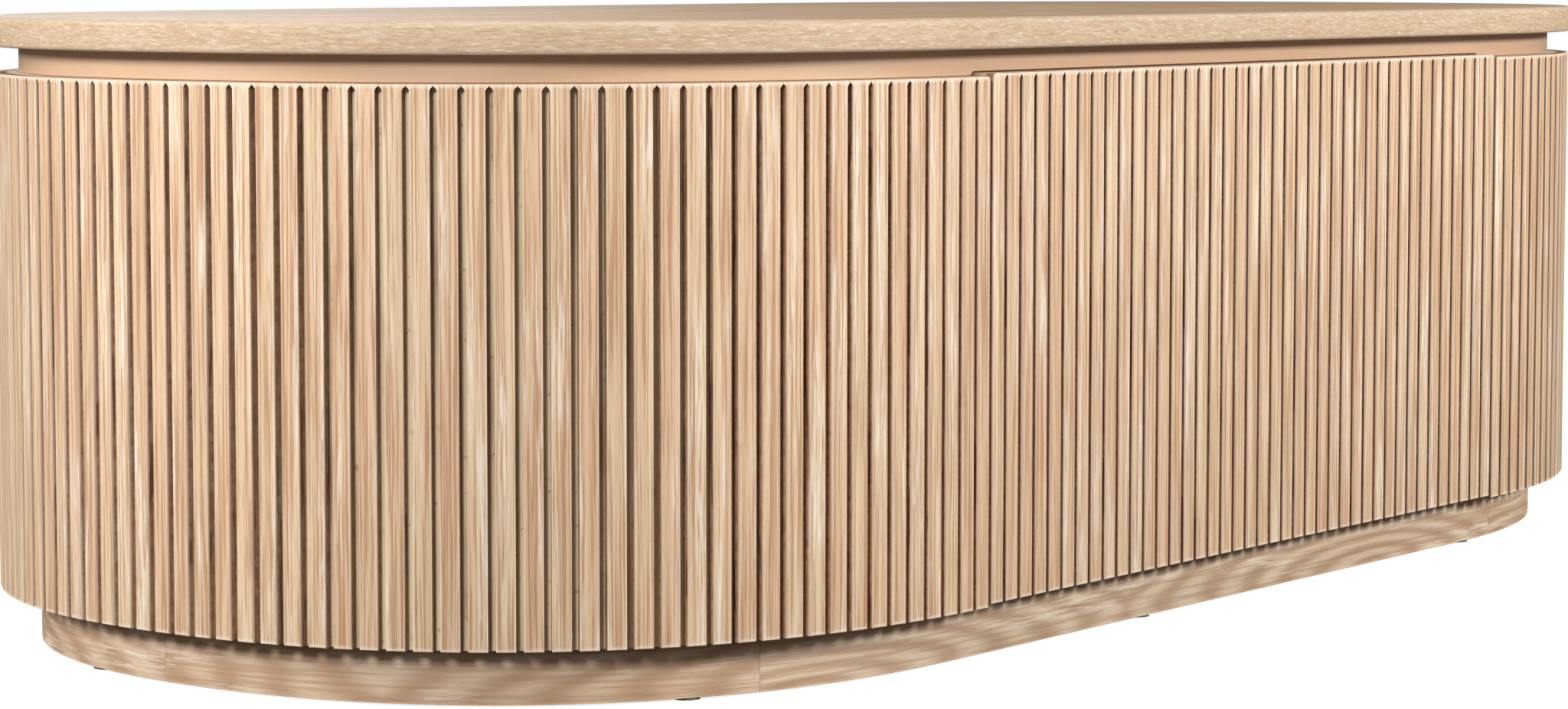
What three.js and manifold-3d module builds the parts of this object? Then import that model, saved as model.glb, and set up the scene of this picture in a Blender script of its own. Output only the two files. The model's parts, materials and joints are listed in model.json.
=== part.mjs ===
// Oval media cabinet: a fluted oak skin on a board carcass, with a drop-down flap across its flat front.
// Millimetres. +Z is up, the front faces -Y, +X is to the right, and the origin is the centre of the
// footprint on the floor.
//
// The plan is a loop: a flat front, a rounded right end, a flat back and a rounded left end. A place on
// it is a distance along the slat faces, counted from the left end of the flat front towards the right,
// and an inset from the slat faces towards the middle.

import * as THREE from "three";
import { mergeVertices } from "three/addons/utils/BufferGeometryUtils.js";
import Module from "manifold-3d";

const wasm = await Module();
wasm.setup();

// ---- Driving dimensions ----

// Overall
const TOTAL_HEIGHT = 445;
const BODY_DEPTH = 752; // front slat faces to back slat faces
const END_REACH = 419; // how far each rounded end reaches past the flat front
const END_SQUARENESS = 2.21; // 2 is a half ellipse, more is squarer
const GAP = 0.3; // between pieces that touch

// Fluted skin
const SLAT_PITCH = 18;
const FLAP_SLATS = 41; // width of the flat front, in slats
const GROOVE = 5.2; // between two slats, and between the flap and the fixed ends
const SLAT_DEPTH = 8;
const BACKING = 14;
const SKIN_BOTTOM = 41;
const TOP_LIP = 1.2; // closes the grooves at the top edge
const FLAP_RAISE = 2; // the flap hangs this much higher than the fixed skin
const SKIN_JOINT = 0.5; // butt joint between skin panels at the back

// Top
const TABLETOP_THICKNESS = 21.5;
const TABLETOP_OVERHANG = 3.5;
const TABLETOP_ROUND = 4.5;
const DECK_THICKNESS = 18;
const DECK_SETBACK = 17.5; // its lacquered edge is the frieze under the tabletop
const FLAP_CLEARANCE = 1.3; // above and behind the flap's top edge

// Carcass
const BOARD = 18;
const DIVIDER_CLEARANCE = 0.4; // outside the edges of the fixed skin
const SHELF_HEIGHT = 216.3; // underside
const SHELF_SIDE_GAP = 1.5;
const SHELF_FRONT_SETBACK = 28; // behind the flap's inner face
const SHELF_CABLE_GAP = 60; // to the back panel

// Shelf pins and their rows of holes
const PIN_RADIUS = 2.5;
const PIN_IN_DIVIDER = 8;
const PIN_UNDER_SHELF = 9;
const PIN_CLEARANCE = 0.3;
const PIN_ROWS = 3;
const PIN_ROW_STEP = 32;
const PIN_FRONT_Y = -160;
const PIN_BACK_Y = 200;

// Plinth
const PLINTH_BEHIND_SKIN = 6.8; // behind the skin's inner faces, clear of the flap hinge
const PLINTH_THICKNESS = 20;
const PLINTH_RAILS = 3;
const PLINTH_RAIL_SPACING = 250;
const PLINTH_RAIL_FLOOR_GAP = 6;
const PLINTH_FRONT_JOINT_LEFT = 198; // left of the flat front
const PLINTH_FRONT_JOINT_RIGHT = 60; // right of the flat front
const PLINTH_END_JOINT = 28; // past the middle of the left end
const GLIDES = 8;
const GLIDE_RADIUS = 9;
const GLIDE_THICKNESS = 1.5;

// Flap hinge: two leaves with interleaved knuckles on one pin
const HINGE_LENGTH = 700;
const HINGE_LEAF_HEIGHT = 16;
const HINGE_LEAF_THICKNESS = 1.2;
const HINGE_KNUCKLES = 14;
const KNUCKLE_RADIUS = 2.4;
const KNUCKLE_BORE = 1.5;
const HINGE_PIN_RADIUS = 1.2;
const LEAF_GAP = 0.4;

// Flap stays: an arm on the flap slides through a friction clutch that turns on the carcass.
// Both pivots are the same distance from the hinge, so arm and clutch turn half as far as the flap.
const STAY_HEIGHT = 150; // pivot on the flap, above the hinge
const STAY_STANDOFF = 12; // the same pivot, behind the hinge
const STAY_SPREAD = 20; // degrees between the two pivots when the flap is shut
const FLAP_OPENING = 90; // degrees
const ARM_THICKNESS = 3;
const ARM_HALF_WIDTH = 7;
const ARM_SPARE = 14; // left beyond the clutch when the flap is open
const STUD_RADIUS = 3;
const STUD_HEAD = 5;
const CLUTCH_RADIUS = 12;
const CLUTCH_THICKNESS = 14;
const CLUTCH_BORE_DEPTH = 6.3;
const STAY_PLATE = 2;

// Push latches
const LATCH_X = 240;
const LATCH_SIZE = { x: 16, y: 76, z: 16 };
const LATCH_SETBACK = 10; // behind the flap's inner face
const PLUNGER_RADIUS = 4;
const PLUNGER_LENGTH = 60;
const PLUNGER_CLEARANCE = 0.4;
const STRIKE_RADIUS = 7.5;
const STRIKE_THICKNESS = 1.5;

// Cable outlets
const OUTLET_X = 180;
const OUTLET_Z = 140;
const OUTLET_LENGTH = 84;
const OUTLET_HEIGHT = 44;
const GROMMET_WALL = 3;
const GROMMET_FLANGE = 5;
const GROMMET_FLANGE_THICKNESS = 3;

// Screws that hold the tabletop
const SCREW_LENGTH = 32;
const SCREW_RADIUS = 2;
const SCREW_HEAD = 4.4;
const SCREW_CLEARANCE = 0.35;
const SCREW_INNER = { x: 250, y: 230 };
const SCREW_OUTER = { x: 560, y: 80 };

const CURVE_STEPS = 1440; // measuring steps round one end
const END_FACETS = 36; // flat facets of the plain curved pieces, round one end

// ---- Heights and places that follow ----

const HALF_DEPTH = BODY_DEPTH / 2;
const FLAT = FLAP_SLATS * SLAT_PITCH;
const PANEL_THICKNESS = SLAT_DEPTH + BACKING;
const PLINTH_SETBACK = PANEL_THICKNESS + PLINTH_BEHIND_SKIN;
const TABLETOP_BOTTOM = TOTAL_HEIGHT - TABLETOP_THICKNESS;
const DECK_BOTTOM = TABLETOP_BOTTOM - GAP - DECK_THICKNESS;
const SKIN_TOP = DECK_BOTTOM - GAP;
const BASE_BOTTOM = SKIN_BOTTOM + FLAP_RAISE;
const BASE_TOP = BASE_BOTTOM + BOARD;
const PLINTH_TOP = BASE_BOTTOM - GAP;
const PLINTH_BOTTOM = GLIDE_THICKNESS + GAP;
const FLAP_BOTTOM = SKIN_BOTTOM + FLAP_RAISE;
const FLAP_TOP = SKIN_TOP + FLAP_RAISE;
const FLAP_INSIDE_Y = -HALF_DEPTH + PANEL_THICKNESS;
const INSIDE_BACK_Y = HALF_DEPTH - PANEL_THICKNESS;
const DIVIDER_X = FLAT / 2 + GROOVE / 2 + DIVIDER_CLEARANCE;
const END_X = FLAT / 2 + END_REACH;
const HINGE_Y = FLAP_INSIDE_Y + GAP + HINGE_LEAF_THICKNESS + LEAF_GAP / 2;
const HINGE_Z = FLAP_BOTTOM - GAP - KNUCKLE_RADIUS - 0.1;
const BASE_FRONT_Y = HINGE_Y + LEAF_GAP / 2 + HINGE_LEAF_THICKNESS + GAP;

// ---- Finishes ----

function finish(color, roughness, metalness = 0) {
  return new THREE.MeshStandardMaterial({ color, roughness, metalness });
}

const limedOak = finish(0xdec29b, 0.62);
const plinthOak = finish(0xc9ab86, 0.6);
const lacquer = finish(0xcdae8c, 0.42);
const innerBoard = finish(0xcbb391, 0.7);
const steel = finish(0xb8b8b4, 0.35, 0.9);
const blackPlastic = finish(0x26241f, 0.5);
const nylon = finish(0x6d665c, 0.6);

// ---- Plan outline ----

// The right end, from the flat front to the flat back, measured from the end of the flat.
function measureEnd() {
  const power = 2 / END_SQUARENESS;
  const points = [];
  let length = 0;
  for (let i = 0; i <= CURVE_STEPS; i++) {
    const angle = (Math.PI * i) / CURVE_STEPS;
    const cosine = Math.cos(angle);
    const x = END_REACH * Math.sin(angle) ** power;
    const y = -HALF_DEPTH * Math.sign(cosine) * Math.abs(cosine) ** power;
    if (i > 0) length += Math.hypot(x - points[i - 1].x, y - points[i - 1].y);
    points.push({ x, y, length });
  }
  return points;
}

const endPoints = measureEnd();
const END_LENGTH = endPoints[CURVE_STEPS].length;
const END_SLATS = Math.round(END_LENGTH / SLAT_PITCH);
const END_PITCH = END_LENGTH / END_SLATS;
const HALF_LOOP = FLAT + END_LENGTH;

function onEndCurve(distance) {
  let low = 0;
  let high = CURVE_STEPS;
  while (high - low > 1) {
    const middle = (low + high) >> 1;
    if (endPoints[middle].length <= distance) low = middle;
    else high = middle;
  }
  const from = endPoints[low];
  const to = endPoints[high];
  const share = (distance - from.length) / (to.length - from.length);
  return new THREE.Vector2(from.x + share * (to.x - from.x), from.y + share * (to.y - from.y));
}

// A point of the plan. The second half of the loop is the first half turned half round.
function onOutline(distance, inset = 0) {
  const loop = 2 * HALF_LOOP;
  let along = ((distance % loop) + loop) % loop;
  const turned = along > HALF_LOOP ? -1 : 1;
  if (turned < 0) along -= HALF_LOOP;
  let point;
  if (along <= FLAT) {
    point = new THREE.Vector2(along - FLAT / 2, inset - HALF_DEPTH);
  } else {
    const here = along - FLAT;
    const ahead = onEndCurve(Math.min(here + 1, END_LENGTH));
    const tangent = ahead.sub(onEndCurve(Math.max(here - 1, 0))).normalize();
    point = onEndCurve(here);
    point.set(FLAT / 2 + point.x - inset * tangent.y, point.y + inset * tangent.x);
  }
  return point.multiplyScalar(turned);
}

// The facet corners between two distances, with both of them.
function stations(from, to) {
  const inner = [];
  const firstTurn = Math.floor(from / HALF_LOOP);
  const lastTurn = Math.ceil(to / HALF_LOOP);
  for (let turn = firstTurn; turn <= lastTurn; turn++) {
    inner.push(turn * HALF_LOOP);
    for (let i = 0; i < END_FACETS; i++) {
      inner.push(turn * HALF_LOOP + FLAT + (END_LENGTH * i) / END_FACETS);
    }
  }
  const kept = inner.filter((distance) => distance > from + 1 && distance < to - 1);
  return [from, ...kept, to];
}

function closedOutline(inset) {
  return stations(0, 2 * HALF_LOOP).slice(0, -1).map((distance) => onOutline(distance, inset));
}

// ---- Solids ----

function toSolid(geometry) {
  const bare = geometry.index ? geometry.toNonIndexed() : geometry.clone();
  bare.deleteAttribute("normal");
  bare.deleteAttribute("uv");
  const merged = mergeVertices(bare, 1e-4);
  const vertProperties = merged.attributes.position.array;
  const triVerts = new Uint32Array(merged.index.array);
  return new wasm.Manifold(new wasm.Mesh({ numProp: 3, vertProperties, triVerts }));
}

function toGeometry(solid) {
  const mesh = solid.getMesh();
  const geometry = new THREE.BufferGeometry();
  geometry.setAttribute("position", new THREE.BufferAttribute(mesh.vertProperties, 3));
  geometry.setIndex(new THREE.BufferAttribute(mesh.triVerts, 1));
  return geometry;
}

function join(...geometries) {
  return toGeometry(geometries.map(toSolid).reduce((whole, piece) => whole.add(piece)));
}

function cut(geometry, ...tools) {
  return toGeometry(tools.map(toSolid).reduce((rest, tool) => rest.subtract(tool), toSolid(geometry)));
}

function trim(geometry, limit) {
  return toGeometry(toSolid(geometry).intersect(toSolid(limit)));
}

function upright(points, low, high) {
  const shape = new THREE.Shape(points);
  const settings = { depth: high - low, bevelEnabled: false };
  return new THREE.ExtrudeGeometry(shape, settings).translate(0, 0, low);
}

// Points are (x, z), and the length is along Y.
function alongY(points, low, high) {
  return upright(points, 0, high - low).rotateX(Math.PI / 2).translate(0, high, 0);
}

// Points are (y, z), and the length is along X.
function alongX(points, low, high) {
  const axes = new THREE.Matrix4().makeBasis(
    new THREE.Vector3(0, 1, 0),
    new THREE.Vector3(0, 0, 1),
    new THREE.Vector3(1, 0, 0),
  );
  return upright(points, low, high).applyMatrix4(axes);
}

function block(x, y, z) {
  const geometry = new THREE.BoxGeometry(x[1] - x[0], y[1] - y[0], z[1] - z[0]);
  return geometry.translate((x[0] + x[1]) / 2, (y[0] + y[1]) / 2, (z[0] + z[1]) / 2);
}

function circle(radius, sides, centreA = 0, centreB = 0) {
  return Array.from({ length: sides }, (_, i) => {
    const angle = (2 * Math.PI * i) / sides;
    return new THREE.Vector2(centreA + radius * Math.cos(angle), centreB + radius * Math.sin(angle));
  });
}

// A shape with round ends, centred on (a, b) and long in the first direction.
function oblong(length, height, a, b, steps = 8) {
  const radius = height / 2;
  const points = [];
  for (const side of [1, -1]) {
    const centre = a + side * (length / 2 - radius);
    for (let i = 0; i <= steps; i++) {
      const angle = (-side * Math.PI) / 2 + (Math.PI * i) / steps;
      points.push(new THREE.Vector2(centre + radius * Math.cos(angle), b + radius * Math.sin(angle)));
    }
  }
  return points;
}

// ---- Assembly helper ----

const cabinet = new THREE.Group();

function add(name, geometry, material) {
  const mesh = new THREE.Mesh(geometry, material);
  mesh.name = name;
  cabinet.add(mesh);
}

const SIDES = [
  { name: "left", sign: -1 },
  { name: "right", sign: 1 },
];

// ---- Fluted skin ----

// A run of slats on their backing. A flush end stops at a slat's side, any other end runs on to the
// middle of the groove, where the next panel butts against it.
function skinPanel(start, count, pitch, flush, bottom, top) {
  const first = start + (flush.start ? GROOVE : SKIN_JOINT) / 2;
  const last = start + count * pitch - (flush.end ? GROOVE : SKIN_JOINT) / 2;
  const fluted = [];
  const plain = [];
  if (!flush.start) {
    fluted.push(onOutline(first, SLAT_DEPTH));
    plain.push(onOutline(first));
  }
  for (let i = 0; i < count; i++) {
    const near = start + i * pitch + GROOVE / 2;
    const far = start + (i + 1) * pitch - GROOVE / 2;
    if (i > 0 || !flush.start) fluted.push(onOutline(near, SLAT_DEPTH));
    fluted.push(onOutline(near), onOutline(far));
    plain.push(onOutline(near), onOutline(far));
    if (i < count - 1 || !flush.end) fluted.push(onOutline(far, SLAT_DEPTH));
  }
  if (!flush.end) {
    fluted.push(onOutline(last, SLAT_DEPTH));
    plain.push(onOutline(last));
  }
  const inside = stations(first, last).reverse().map((distance) => onOutline(distance, PANEL_THICKNESS));
  const body = upright([...fluted, ...inside], bottom, top - TOP_LIP);
  const lip = upright([...plain, ...inside], top - TOP_LIP, top);
  return join(body, lip);
}

function addSkin() {
  const openStart = { start: true, end: false };
  const openEnd = { start: false, end: true };
  const right = skinPanel(FLAT, END_SLATS, END_PITCH, openStart, SKIN_BOTTOM, SKIN_TOP);
  const left = skinPanel(-END_LENGTH, END_SLATS, END_PITCH, openEnd, SKIN_BOTTOM, SKIN_TOP);
  add("left_end_panel", left, limedOak);
  add("right_end_panel", right, limedOak);

  const closed = { start: false, end: false };
  const back = skinPanel(HALF_LOOP, FLAP_SLATS, SLAT_PITCH, closed, SKIN_BOTTOM, SKIN_TOP);
  const outlets = SIDES.map(({ sign }) => {
    const hole = oblong(OUTLET_LENGTH, OUTLET_HEIGHT, sign * OUTLET_X, OUTLET_Z);
    return alongY(hole, INSIDE_BACK_Y - 5, HALF_DEPTH + 5);
  });
  add("back_panel", cut(back, ...outlets), limedOak);

  const flush = { start: true, end: true };
  add("flap_door", skinPanel(0, FLAP_SLATS, SLAT_PITCH, flush, FLAP_BOTTOM, FLAP_TOP), limedOak);
}

// ---- Top ----

// A countersunk screw from below, grown by a clearance when it is used to cut its own hole.
function screw(x, y, clearance = 0) {
  const low = DECK_BOTTOM + GAP - clearance;
  const high = DECK_BOTTOM + SCREW_LENGTH + clearance;
  const neck = SCREW_HEAD - SCREW_RADIUS;
  const profile = [
    [0, low],
    [SCREW_HEAD + clearance, low],
    [SCREW_RADIUS + clearance, low + neck + clearance],
    [SCREW_RADIUS + clearance, high - 2 * SCREW_RADIUS],
    [0, high],
  ].map(([radius, z]) => new THREE.Vector2(radius, z));
  return new THREE.LatheGeometry(profile, 12).rotateX(Math.PI / 2).translate(x, y, 0);
}

function screwPlaces() {
  const places = [];
  for (const { sign } of SIDES) {
    places.push([sign * SCREW_INNER.x, SCREW_INNER.y]);
    places.push([sign * SCREW_INNER.x, -SCREW_INNER.y]);
    places.push([sign * SCREW_OUTER.x, SCREW_OUTER.y]);
  }
  return places;
}

function addTop() {
  const holes = screwPlaces().map(([x, y]) => screw(x, y, SCREW_CLEARANCE));
  const topShape = new THREE.Shape(closedOutline(-TABLETOP_OVERHANG));
  const slab = new THREE.ExtrudeGeometry(topShape, {
    depth: TABLETOP_THICKNESS - 2 * TABLETOP_ROUND,
    bevelThickness: TABLETOP_ROUND,
    bevelSize: TABLETOP_ROUND,
    bevelOffset: -TABLETOP_ROUND,
    bevelSegments: 3,
  }).translate(0, 0, TABLETOP_BOTTOM + TABLETOP_ROUND);
  add("tabletop", cut(slab, ...holes), limedOak);

  const deck = upright(closedOutline(DECK_SETBACK), DECK_BOTTOM, DECK_BOTTOM + DECK_THICKNESS);
  const relief = block(
    [-FLAT / 2, FLAT / 2],
    [-HALF_DEPTH, FLAP_INSIDE_Y + FLAP_CLEARANCE],
    [DECK_BOTTOM - BOARD, FLAP_TOP + FLAP_CLEARANCE],
  );
  add("top_deck", cut(deck, relief, ...holes), lacquer);

  screwPlaces().forEach(([x, y], i) => add(`top_screw_${i + 1}`, screw(x, y), steel));
}

// ---- Carcass ----

function addCarcass() {
  const board = upright(closedOutline(PANEL_THICKNESS + GAP), BASE_BOTTOM, BASE_TOP);
  const frontStrip = block([-DIVIDER_X, DIVIDER_X], [-HALF_DEPTH, BASE_FRONT_Y], [0, TOTAL_HEIGHT]);
  add("base_board", cut(board, frontStrip), innerBoard);

  const low = BASE_TOP + GAP;
  const high = SKIN_TOP;
  const inside = upright(closedOutline(PANEL_THICKNESS + GAP), low, high);
  const pinZ = SHELF_HEIGHT - GAP - PIN_RADIUS;
  for (const { name, sign } of SIDES) {
    const across = [sign * DIVIDER_X, sign * (DIVIDER_X + BOARD)].sort((a, b) => a - b);
    const divider = block(across, [-HALF_DEPTH, HALF_DEPTH], [low, high]);
    const holes = [];
    const ends = [sign * (DIVIDER_X - 1), sign * (DIVIDER_X + PIN_IN_DIVIDER + 1)].sort((a, b) => a - b);
    for (const y of [PIN_FRONT_Y, PIN_BACK_Y]) {
      for (let row = 0; row < PIN_ROWS; row++) {
        const z = pinZ + (row - 1) * PIN_ROW_STEP;
        holes.push(alongX(circle(PIN_RADIUS + PIN_CLEARANCE, 12, y, z), ...ends));
      }
    }
    add(`${name}_divider`, cut(trim(divider, inside), ...holes), innerBoard);

    const ribAcross = [sign * (DIVIDER_X + BOARD + GAP), sign * END_X].sort((a, b) => a - b);
    const rib = block(ribAcross, [-BOARD / 2, BOARD / 2], [low, high]);
    add(`${name}_end_rib`, trim(rib, inside), innerBoard);
  }

  const shelfHalf = DIVIDER_X - SHELF_SIDE_GAP;
  const shelfY = [FLAP_INSIDE_Y + SHELF_FRONT_SETBACK, INSIDE_BACK_Y - SHELF_CABLE_GAP];
  const shelfZ = [SHELF_HEIGHT, SHELF_HEIGHT + BOARD];
  add("shelf", block([-shelfHalf, shelfHalf], shelfY, shelfZ), innerBoard);
  for (const { name, sign } of SIDES) {
    const ends = [DIVIDER_X - PIN_UNDER_SHELF, DIVIDER_X + PIN_IN_DIVIDER].map((x) => sign * x);
    ends.sort((a, b) => a - b);
    add(`shelf_pin_${name}_front`, alongX(circle(PIN_RADIUS, 12, PIN_FRONT_Y, pinZ), ...ends), steel);
    add(`shelf_pin_${name}_back`, alongX(circle(PIN_RADIUS, 12, PIN_BACK_Y, pinZ), ...ends), steel);
  }
}

// ---- Plinth ----

function plinthSegment(from, to) {
  const places = stations(from + GAP / 2, to - GAP / 2);
  const outside = places.map((distance) => onOutline(distance, PLINTH_SETBACK));
  const inset = PLINTH_SETBACK + PLINTH_THICKNESS;
  const inside = [...places].reverse().map((distance) => onOutline(distance, inset));
  return upright([...outside, ...inside], PLINTH_BOTTOM, PLINTH_TOP);
}

function addPlinth() {
  const joints = [
    -END_LENGTH / 2 - PLINTH_END_JOINT,
    -PLINTH_FRONT_JOINT_LEFT,
    FLAT + PLINTH_FRONT_JOINT_RIGHT,
    HALF_LOOP - END_LENGTH / 2 - PLINTH_END_JOINT,
  ];
  const names = ["left_front", "front", "right_front", "right_back", "back", "left_back"];
  names.forEach((name, i) => {
    const turn = i < 3 ? 0 : HALF_LOOP;
    const [from, to] = joints.slice(i % 3, (i % 3) + 2);
    add(`plinth_${name}`, plinthSegment(turn + from, turn + to), plinthOak);
  });

  const railEnd = HALF_DEPTH - PLINTH_SETBACK - PLINTH_THICKNESS - GAP;
  for (let i = 0; i < PLINTH_RAILS; i++) {
    const x = (i - (PLINTH_RAILS - 1) / 2) * PLINTH_RAIL_SPACING;
    const z = [PLINTH_BOTTOM + PLINTH_RAIL_FLOOR_GAP, PLINTH_TOP];
    add(`plinth_rail_${i + 1}`, block([x - BOARD / 2, x + BOARD / 2], [-railEnd, railEnd], z), innerBoard);
  }

  for (let i = 0; i < GLIDES; i++) {
    const distance = (2 * HALF_LOOP * (i + 0.5)) / GLIDES;
    const centre = onOutline(distance, PLINTH_SETBACK + PLINTH_THICKNESS / 2);
    const disc = upright(circle(GLIDE_RADIUS, 16, centre.x, centre.y), 0, GLIDE_THICKNESS);
    add(`glide_${i + 1}`, disc, nylon);
  }
}

// ---- Flap hinge ----

// One leaf: a plate with tabs down to its own knuckles. The side is -1 for the flap and 1 for the base.
function hingeLeaf(side, firstKnuckle) {
  const near = HINGE_Y + (side * LEAF_GAP) / 2;
  const far = near + side * HINGE_LEAF_THICKNESS;
  const y = [Math.min(near, far), Math.max(near, far)];
  const plateBottom = HINGE_Z + KNUCKLE_RADIUS + 0.5;
  const plate = block([-HINGE_LENGTH / 2, HINGE_LENGTH / 2], y, [plateBottom, plateBottom + HINGE_LEAF_HEIGHT]);
  const step = HINGE_LENGTH / HINGE_KNUCKLES;
  const pieces = [plate];
  const bores = [];
  for (let i = firstKnuckle; i < HINGE_KNUCKLES; i += 2) {
    const x = [-HINGE_LENGTH / 2 + i * step + GAP, -HINGE_LENGTH / 2 + (i + 1) * step - GAP];
    pieces.push(block(x, y, [HINGE_Z + KNUCKLE_BORE + GAP, plateBottom + 1]));
    pieces.push(alongX(circle(KNUCKLE_RADIUS, 12, HINGE_Y, HINGE_Z), ...x));
    bores.push(alongX(circle(KNUCKLE_BORE, 12, HINGE_Y, HINGE_Z), x[0] - 1, x[1] + 1));
  }
  return cut(join(...pieces), ...bores);
}

function addHinge() {
  add("hinge_base_leaf", hingeLeaf(1, 0), steel);
  add("hinge_flap_leaf", hingeLeaf(-1, 1), steel);
  const half = HINGE_LENGTH / 2;
  add("hinge_pin", alongX(circle(HINGE_PIN_RADIUS, 12, HINGE_Y, HINGE_Z), -half, half), steel);
}

// ---- Flap stays ----

function addStays() {
  const flapAngle = Math.atan2(STAY_STANDOFF, STAY_HEIGHT);
  const spread = THREE.MathUtils.degToRad(STAY_SPREAD);
  const opening = THREE.MathUtils.degToRad(FLAP_OPENING);
  const radius = Math.hypot(STAY_STANDOFF, STAY_HEIGHT);
  const armTilt = -(flapAngle + spread / 2);
  const armLength = 2 * radius * Math.sin((spread + opening) / 2) + ARM_SPARE;
  const flapPivot = { y: HINGE_Y + STAY_STANDOFF, z: HINGE_Z + STAY_HEIGHT };
  const sidePivot = {
    y: HINGE_Y + radius * Math.sin(flapAngle + spread),
    z: HINGE_Z + radius * Math.cos(flapAngle + spread),
  };

  // Layers across the stay, counted inwards from the divider's face.
  const plate = [GAP, GAP + STAY_PLATE];
  const clutch = [plate[1] + GAP, plate[1] + GAP + CLUTCH_THICKNESS];
  const boreEnd = clutch[0] + CLUTCH_BORE_DEPTH;
  const slot = [boreEnd + 2, boreEnd + 2 + ARM_THICKNESS + 2 * GAP];
  const arm = [slot[0] + GAP, slot[1] - GAP];
  const ear = [slot[0] - STAY_PLATE, slot[0]];

  for (const { name, sign } of SIDES) {
    const across = (layer) => layer.map((depth) => sign * (DIVIDER_X - depth)).sort((a, b) => a - b);
    const tilted = (geometry, pivot) => geometry.rotateX(armTilt).translate(0, pivot.y, pivot.z);

    const sidePlate = block(
      across(plate),
      [sidePivot.y - 20, sidePivot.y + 20],
      [sidePivot.z - 16, sidePivot.z + 16],
    );
    const sideStud = alongX(
      circle(STUD_RADIUS, 16, sidePivot.y, sidePivot.z),
      ...across([plate[1] - 1, boreEnd - GAP]),
    );
    add(`${name}_stay_side_bracket`, join(sidePlate, sideStud), steel);

    const puck = alongX(circle(CLUTCH_RADIUS, 24), ...across(clutch));
    const bore = alongX(circle(STUD_RADIUS + GAP, 16), ...across([clutch[0] - 1, boreEnd]));
    const wide = ARM_HALF_WIDTH + GAP;
    const way = block(across(slot), [-2 * CLUTCH_RADIUS, 2 * CLUTCH_RADIUS], [-wide, wide]);
    add(`${name}_stay_clutch`, tilted(cut(puck, bore, way), sidePivot), blackPlastic);

    const barLength = armLength + 2 * ARM_HALF_WIDTH;
    const bar = alongX(oblong(barLength, 2 * ARM_HALF_WIDTH, armLength / 2, 0), ...across(arm));
    const eye = alongX(circle(STUD_RADIUS + GAP, 16), ...across([arm[0] - 1, arm[1] + 1]));
    add(`${name}_stay_arm`, tilted(cut(bar, eye), flapPivot), steel);

    const flapPlate = block(
      across([ear[0], ear[0] + 22]),
      [FLAP_INSIDE_Y + GAP, FLAP_INSIDE_Y + GAP + STAY_PLATE],
      [flapPivot.z - 15, flapPivot.z + 15],
    );
    const flapEar = block(
      across(ear),
      [FLAP_INSIDE_Y + GAP, flapPivot.y + 6],
      [flapPivot.z - 7, flapPivot.z + 7],
    );
    const flapStud = alongX(
      circle(STUD_RADIUS, 16, flapPivot.y, flapPivot.z),
      ...across([ear[1] - 1, slot[1] + 1]),
    );
    const flapHead = alongX(
      circle(STUD_HEAD, 16, flapPivot.y, flapPivot.z),
      ...across([slot[1], slot[1] + 1.5]),
    );
    add(`${name}_stay_flap_bracket`, join(flapPlate, flapEar, flapStud, flapHead), steel);
  }
}

// ---- Push latches ----

function addLatches() {
  const top = DECK_BOTTOM - GAP;
  const z = top - LATCH_SIZE.z / 2;
  const bodyFront = FLAP_INSIDE_Y + LATCH_SETBACK;
  const strikeY = [FLAP_INSIDE_Y + GAP, FLAP_INSIDE_Y + GAP + STRIKE_THICKNESS];
  const tip = strikeY[1] + GAP;
  for (const { name, sign } of SIDES) {
    const x = sign * LATCH_X;
    const body = block(
      [x - LATCH_SIZE.x / 2, x + LATCH_SIZE.x / 2],
      [bodyFront, bodyFront + LATCH_SIZE.y],
      [top - LATCH_SIZE.z, top],
    );
    const bore = alongY(
      circle(PLUNGER_RADIUS + PLUNGER_CLEARANCE, 16, x, z),
      bodyFront - 1,
      tip + PLUNGER_LENGTH + 6,
    );
    add(`${name}_latch_body`, cut(body, bore), blackPlastic);
    const plunger = alongY(circle(PLUNGER_RADIUS, 16, x, z), tip, tip + PLUNGER_LENGTH);
    add(`${name}_latch_plunger`, plunger, nylon);
    add(`${name}_strike_plate`, alongY(circle(STRIKE_RADIUS, 20, x, z), ...strikeY), steel);
  }
}

// ---- Cable outlets ----

function addGrommets() {
  for (const { name, sign } of SIDES) {
    const ring = (grow) =>
      oblong(OUTLET_LENGTH + 2 * grow, OUTLET_HEIGHT + 2 * grow, sign * OUTLET_X, OUTLET_Z);
    const flangeY = [HALF_DEPTH + GAP, HALF_DEPTH + GAP + GROMMET_FLANGE_THICKNESS];
    const sleeve = alongY(ring(-GAP), INSIDE_BACK_Y, flangeY[1]);
    const flange = alongY(ring(GROMMET_FLANGE), ...flangeY);
    const way = alongY(ring(-GAP - GROMMET_WALL), INSIDE_BACK_Y - 5, flangeY[1] + 5);
    add(`${name}_cable_grommet`, cut(join(sleeve, flange), way), blackPlastic);
  }
}

addSkin();
addTop();
addCarcass();
addPlinth();
addHinge();
addStays();
addLatches();
addGrommets();

export default cabinet;
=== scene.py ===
"""Oval media cabinet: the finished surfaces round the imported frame.

Metres, +Z up, the front with the flap faces -Y and +X is to the right. The plan is a loop: a flat front, a
rounded right end, a flat back and a rounded left end. A place on it is a distance along the slat faces,
counted from the left end of the flat front towards the right, and an inset from the slat faces inwards.
"""

import json
import logging
import math
import random
from bisect import bisect_right
from dataclasses import dataclass, field
from enum import Enum
from typing import Callable, Iterable, Sequence

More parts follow.
